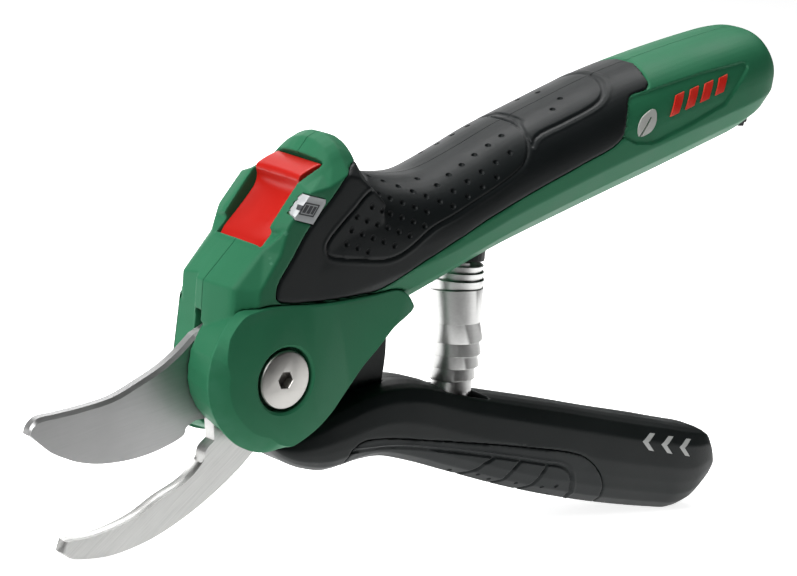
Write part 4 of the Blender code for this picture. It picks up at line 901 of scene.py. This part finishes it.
# The lower handle: two hard black half shells screwed together around the tang, with a step round the soft
# finger insert and an open slot on top where the spring stands.
LEVER_HALF = 12.0
LEVER_STATIONS = [
    (6, -19.4, -20.8, .55), (9, -17.8, -23.2, .68), (13, -16, -25.2, .78), (18, -13.4, -26.5, .84),
    (23, -10.6, -27, .88), (28, -8.7, -26.2, .9), (33, -6.8, -25, .91), (41, -5.1, -24.2, .92), (51, -5, -26, .94),
    (65.5, -8, -29.8, .96), (85.5, -11.2, -35, .98), (104, -14.1, -39, 1), (123, -17.4, -42.3, 1),
    (143, -20.6, -44.9, 1), (149, -21.7, -45.4, .98), (155.5, -22.8, -44, .92), (160.7, -24, -40.2, .8),
    (164, -29, -36, .66), (165.8, -32, -34, .5),
]
INSERT = [
    (28, -23.6), (28.4, -21), (30.5, -19.2), (34.8, -18.3), (58, -20), (84.8, -22.9), (107.1, -26.3), (112.2, -28.7),
    (116.1, -32), (119.3, -37.3), (121.5, -47), (28.5, -40),
]
LEVER_SCREWS = [(47, -8.6, 9), (100, -20.3, 10.8), (148, -33, 11)]
INSERT_DEPTH = 1.6


def lever_form(name, inset):
    loops = []
    for x, top, low, share in flow(LEVER_STATIONS, 4):
        top, low, half = top - inset, low + inset, share * LEVER_HALF - inset
        side = [(0.26, 1.0), (0.56, 0.985), (0.78, 0.95), (0.93, 0.80), (1.0, 0.52), (0.985, 0.36), (0.93, 0.22),
                (0.76, 0.09), (0.52, 0)]
        loop = [(x, share_y * half, low + rise * (top - low)) for share_y, rise in side]
        loop += [(x, -share_y * half, low + rise * (top - low)) for share_y, rise in reversed(side)]
        loops.append(loop)
    return loft(name, loops)


insert_line = INSERT[:1] + flow(INSERT[1:11], 4)
lower = lever_form("lower", 0.0)
carve(lower, slab("insert_recess", grown(insert_line + INSERT[11:], 0.15)))
carve(lower, lever_form("lower_core", INSERT_DEPTH + GAP), operation="UNION")
tang_room = [(-18.3, 8.6), (-15, -13.2)] + TANG + [(0, 5)]
carve(
    lower,
    slab("tang_room", grown(tang_room, GAP), -0.15, BLADE_SIDES[1] + GAP),
    slab("fin_room", grown(fin_line, GAP), FIN_SIDES[0] - GAP, 0.5),
    slab("sector_room", grown([(10, -3), (14, -14.5), (24, -17), (34, -17.5), (36, 0)], 0.3), 1.0, 7.15),
    block("spring_slot", (68.2, 0, -9.6), (16, 14.6, 11)),
    bore("guard_clear", 14.6),
)
for x, z, outer in LEVER_SCREWS:
    carve(lower, turned("screw_seat", [(2.9, outer - 2.6), (2.9, outer - 0.2), (3.3, outer + 0.3), (3.3, 30)], (x, z)))
moulded(lower, 0.42, 3)
for half in halves(lower, "lower"):
    fit(half, "lever", black_hard, "black_plastic", half.name.replace("lower", "lower_handle"))

# The finger insert: soft black elastomer under the lower handle, with a framed finger pad, three curved ribs of
# grooves and small dimples.
FINGER_PAD = [
    (24, -21.4), (44.6, -21.2), (59.3, -22.7), (75.4, -25), (86.3, -26.7), (96.4, -28.4), (99.6, -28.8),
    (102.9, -29.8), (105.6, -31.9), (106.8, -34.4), (108.2, -37), (108.9, -39.2), (109.5, -46),
]
FINGER_GROOVES = [
    [(77.2, -25.4), (75.8, -26.4), (74.3, -27.1), (73.4, -28.5), (71.5, -29.7), (68.5, -30.8), (64, -32)],
    [(86.8, -26.8), (85.7, -28.2), (84.7, -29.5), (84.2, -31.1), (83.5, -32.6), (81.0, -34.0), (77, -35.4)],
    [(96.3, -28.5), (95.9, -29.9), (95.2, -30.9), (94.8, -32.4), (94.3, -34), (92.5, -35.6), (88, -37.4)],
]


def line_distance(at, line):
    """How far each point is, seen from the side, from an open line."""
    p = at[:, [0, 2]]
    return np.min([span_distance(p, a, b) for a, b in zip(np.array(line[:-1]), np.array(line[1:]))], axis=0)


finger_line = flow(FINGER_PAD, 4)


def finger_relief(at, out):
    """A groove round the finger pad with a fine line outside it, the rib grooves, and a softened outer edge."""
    signed = edge_distance(at, finger_line + [(24, -60)])
    rim = 0.5 * (1 - ramp(line_distance(at, finger_line), 0.1, 0.6))
    ribs = np.min([line_distance(at, flow(line, 4)) for line in FINGER_GROOVES], axis=0)
    ribs = 0.55 * (1 - ramp(ribs, 0.1, 0.65)) * (signed < 0.1)
    raised = 0.16 * ramp(signed, 0.7, 1.0) * (1 - ramp(signed, 1.0, 1.5))
    outer = np.abs(out[:, 1]) > 0.12
    middle = np.interp(at[:, 0], [s[0] for s in LEVER_STATIONS], [(s[1] + s[2]) / 2 for s in LEVER_STATIONS])
    outward = out[:, 1] * at[:, 1] + out[:, 2] * (at[:, 2] - middle) > 0
    return (raised - np.maximum(rim, ribs)) * (outer | outward) * outward


soft_insert = moulding("soft_insert", (0.0080, 0.0105, 0.0110), (0.03, 0.033, 0.034), 0.48, scale=3200.0, bump=0.2,
                       sheen=0.02, shine=0.2)
insert = between(slab("insert", insert_line + INSERT[11:]), lever_form, 0.0, INSERT_DEPTH)
relief(moulded(insert, 0.34, 3), finger_relief)
FINGER_PITCH = 4.6
finger_spots = np.array([(38 + FINGER_PITCH * k, 0.0, -24.6 - 0.165 * FINGER_PITCH * k - 3.3 * row - 0.9 * (k % 2))
                         for k in range(15) for row in (0, 1)])
off_grooves = np.min([line_distance(finger_spots, line) for line in FINGER_GROOVES], axis=0) > 1.5
in_pad = edge_distance(finger_spots, finger_line + [(24, -60)]) < -1.4
finger_spots = finger_spots[off_grooves & in_pad]
for y_side in (1, -1):
    dimpled(insert, finger_spots, y_side, soft_insert, radius=0.8, proud=0.35)
fit(insert, "lever", soft_insert, "soft_insert", "lower_grip_insert")

# Three pale chevrons on each side of the lower handle, printed flat on the shell. They point to the blades.
pale_mark = moulding("pale_mark", (0.42, 0.43, 0.42), (0.6, 0.6, 0.6), 0.45, scale=1500.0, bump=0.05)
for side_name, y_side in SIDES:
    strokes = []
    for k in range(3):
        x, z = 131.5 + 7.4 * k, -24.2 - 1.25 * k
        outline = [(x, z), (x + 3.4, z + 2.0), (x + 5.4, z + 1.7), (x + 2.2, z - 0.35), (x + 4.6, z - 2.9),
                   (x + 2.6, z - 2.5)]
        strokes.append(slab("chevrons_" + side_name, outline, y_side * 4, y_side * 30))
    for stroke in strokes[1:]:
        carve(strokes[0], stroke, operation="UNION")
    fit(between(strokes[0], lever_form, -0.04, 0.35), "lever", pale_mark, "black_plastic")

# The screws: pan heads with a star recess, driven from the far side, six into the near shell and three into the
# near half of the lower handle. One head shape is laid out on all of them.
screw_tree, given, result = group(
    "screws", "GeometryNodeTree", [("Geometry", GEOMETRY, None), ("Head", OBJECT, None), ("Seed", "NodeSocketInt", 4),
                                   ("Finish", MATERIAL, None)], [("Geometry", GEOMETRY)])
head_info = wire(screw_tree, "GeometryNodeObjectInfo", {"Object": given["Head"]})
spin = wire(screw_tree, "FunctionNodeRandomValue", {"Seed": given["Seed"], 3: math.tau})
spin_turn = wire(screw_tree, "ShaderNodeCombineXYZ", {"Y": spin.outputs[1]})
laid_out(screw_tree, given["Geometry"], head_info.outputs["Geometry"], given["Finish"], result, Rotation=spin_turn)
black_zinc = metal("black_zinc", (0.20, 0.20, 0.205), 0.38, scale=1400.0, stains=0.2)


def screw_set(name, places, reach, head, body, nodes):
    """One mesh of screws: each point is where a head's underside sits."""
    shape = turned("screw_shape", [(0.15, -reach), (1.0, -reach + 1.2), (1.3, -reach + 1.6), (1.3, 0.0), (2.6, 0.0),
                                   (2.6, head * 0.55), (2.2, head * 0.9), (1.5, head)], segments=36)
    star = []
    for k in range(36):
        turn = math.tau * k / 36
        radius = 1.25 + 0.2 * math.cos(6 * turn)
        star.append((radius * math.cos(turn), radius * math.sin(turn)))
    carve(shape, slab("star", star, head - 1.2, head + 1))
    made = bare_object(name, places)
    grow(made, screw_tree, Head=shape, Finish=black_zinc)
    bpy.data.objects.remove(shape, do_unlink=True)
    return fit(made, body, black_zinc, "screw_steel", *nodes)


screw_set("housing_screws", [(x, outer - 2.7, z) for x, z, outer in HOUSING_SCREWS], 14.0, 2.0, "housing",
          [f"housing_screw_{k}" for k in range(1, 7)])
screw_set("lever_screws", [(x, outer - 2.3, z) for x, z, outer in LEVER_SCREWS], 12.0, 1.8, "lever",
          [f"handle_screw_{k}" for k in range(1, 4)])

# The volute spring: one strip of spring steel wound into a barrel, its turns overlapping, standing between a cup
# in the upper handle and a foot plate on the tang.
SPRING_TURNS = [  # middle of the strip, radius, how far its upper edge leans out
    (-8.3, 4.4, -1.2), (-4.7, 4.8, -1.3), (-1.3, 5.2, -1.3), (2, 5.6, -1.3), (5.4, 6, -1.3),
    (9, 6.4, -1.1), (14.4, 6.95, 0), (16.6, 6.2, 1.1), (18.6, 5.6, 1.2), (20.4, 5.1, 1.2), (21.5, 4.6, 1.2),
]
STRIP_TALL, STRIP_THICK = 9.0, 0.32
coil, given, result = group(
    "coil_strip", "GeometryNodeTree", [("Geometry", GEOMETRY, None), ("Tall", FLOAT, 9.0), ("Thick", FLOAT, 0.32),
                                       ("Finish", MATERIAL, None)], [("Geometry", GEOMETRY)])
path = wire(coil, "GeometryNodeMeshToCurve", {0: given["Geometry"]})
upright = wire(coil, "GeometryNodeSetCurveNormal", {0: path}, mode="Z_UP")
lean = wire(coil, "GeometryNodeInputNamedAttribute", {"Name": "lean"})
leaning = wire(coil, "GeometryNodeSetCurveTilt", {0: upright, "Tilt": lean})
strip = wire(coil, "GeometryNodeCurvePrimitiveQuadrilateral", {"Width": given["Thick"], "Height": given["Tall"]})
eased = wire(coil, "GeometryNodeFilletCurve", {0: strip, "Radius": 0.08, "Count": 2}, mode="POLY")
swept = wire(coil, "GeometryNodeCurveToMesh", {0: leaning, 1: eased, "Fill Caps": True})
feed(coil, result, {0: wire(coil, "GeometryNodeSetMaterial", {0: swept, "Material": given["Finish"]})})
spring_steel = metal("spring_steel", (0.62, 0.62, 0.61), 0.36, scale=1800.0, contrast=0.05, bump=0.0, stains=0.25)
turns = np.linspace(0, len(SPRING_TURNS) - 1, (len(SPRING_TURNS) - 1) * 48 + 1)
levels, radii, leans = (np.interp(turns, range(len(SPRING_TURNS)), [row[k] for row in SPRING_TURNS]) for k in range(3))
spins = turns * math.tau - 1.9
spring = bare_object("coil_spring", [(67 + r * math.cos(t), r * math.sin(t), z) for r, t, z in
                                     zip(radii, spins, levels)], edges=[(k, k + 1) for k in range(len(turns) - 1)])
tilts = spring.data.attributes.new("lean", "FLOAT", "POINT")
tilts.data.foreach_set("value", (leans / STRIP_TALL).astype(np.float32))
grow(spring, coil, Tall=STRIP_TALL, Thick=STRIP_THICK, Finish=spring_steel)
at, _ = shell_points(spring)
at[:, 0] += np.interp(at[:, 2], [-13, -7, -1, 6.4, 10, 14, 19, 26], [1.2, 1.2, 1.7, 0.8, 0.0, -1.0, -1.1, 0.0])
dress(set_points(spring, at), spring_steel, 20)
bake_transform(spring)
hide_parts("volute_spring")

# The charge port cover: a soft black flap in the end of the upper handle, with rounded corners and a finger tab,
# hinged at the front to uncover the socket.
flap_low, flap_high = ((np.array(corner) - PIVOT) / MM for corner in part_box("port_cover"))
flap = block("flap", (flap_low + flap_high) / 2, flap_high - flap_low)
carve(flap, block("tab", (159.0, -3.4, 63.6), (2.0, 3.0, 2.4)), operation="UNION")
moulded(flap, 0.2, 5)
black_rubber = moulding("black_rubber", (0.012, 0.013, 0.013), (0.035, 0.036, 0.036), 0.55, scale=3000.0, bump=0.2)
fit(flap, "port_flap", black_rubber, "port_rubber", "port_cover")

# What stays as modelled inside: the lock bar, motor, planetary and crown gears, bushes, cell, boards and socket.
# Each keeps its shape and takes a finish with its own grain.
inside_finishes = {
    "machined_steel": machined, "nickel": nickel, "black_plastic": black_hard, "blade_steel": ground,
    "brass": metal("brass", (0.62, 0.42, 0.16), 0.33, angle=0.3, scale=1500.0, stains=0.25),
    "circuit_board": moulding("solder_mask", (0.010, 0.085, 0.035), (0.2, 0.25, 0.12), 0.28, scale=1300.0, coat=0.3),
    "cell_wrap": moulding("cell_wrap", (0.030, 0.085, 0.26), (0.2, 0.3, 0.5), 0.30, scale=700.0, bump=0.1, coat=0.2),
}
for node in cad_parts.values():
    for place in node.material_slots:
        if not node.hide_render and place.material.name in inside_finishes:
            place.material = inside_finishes[place.material.name]
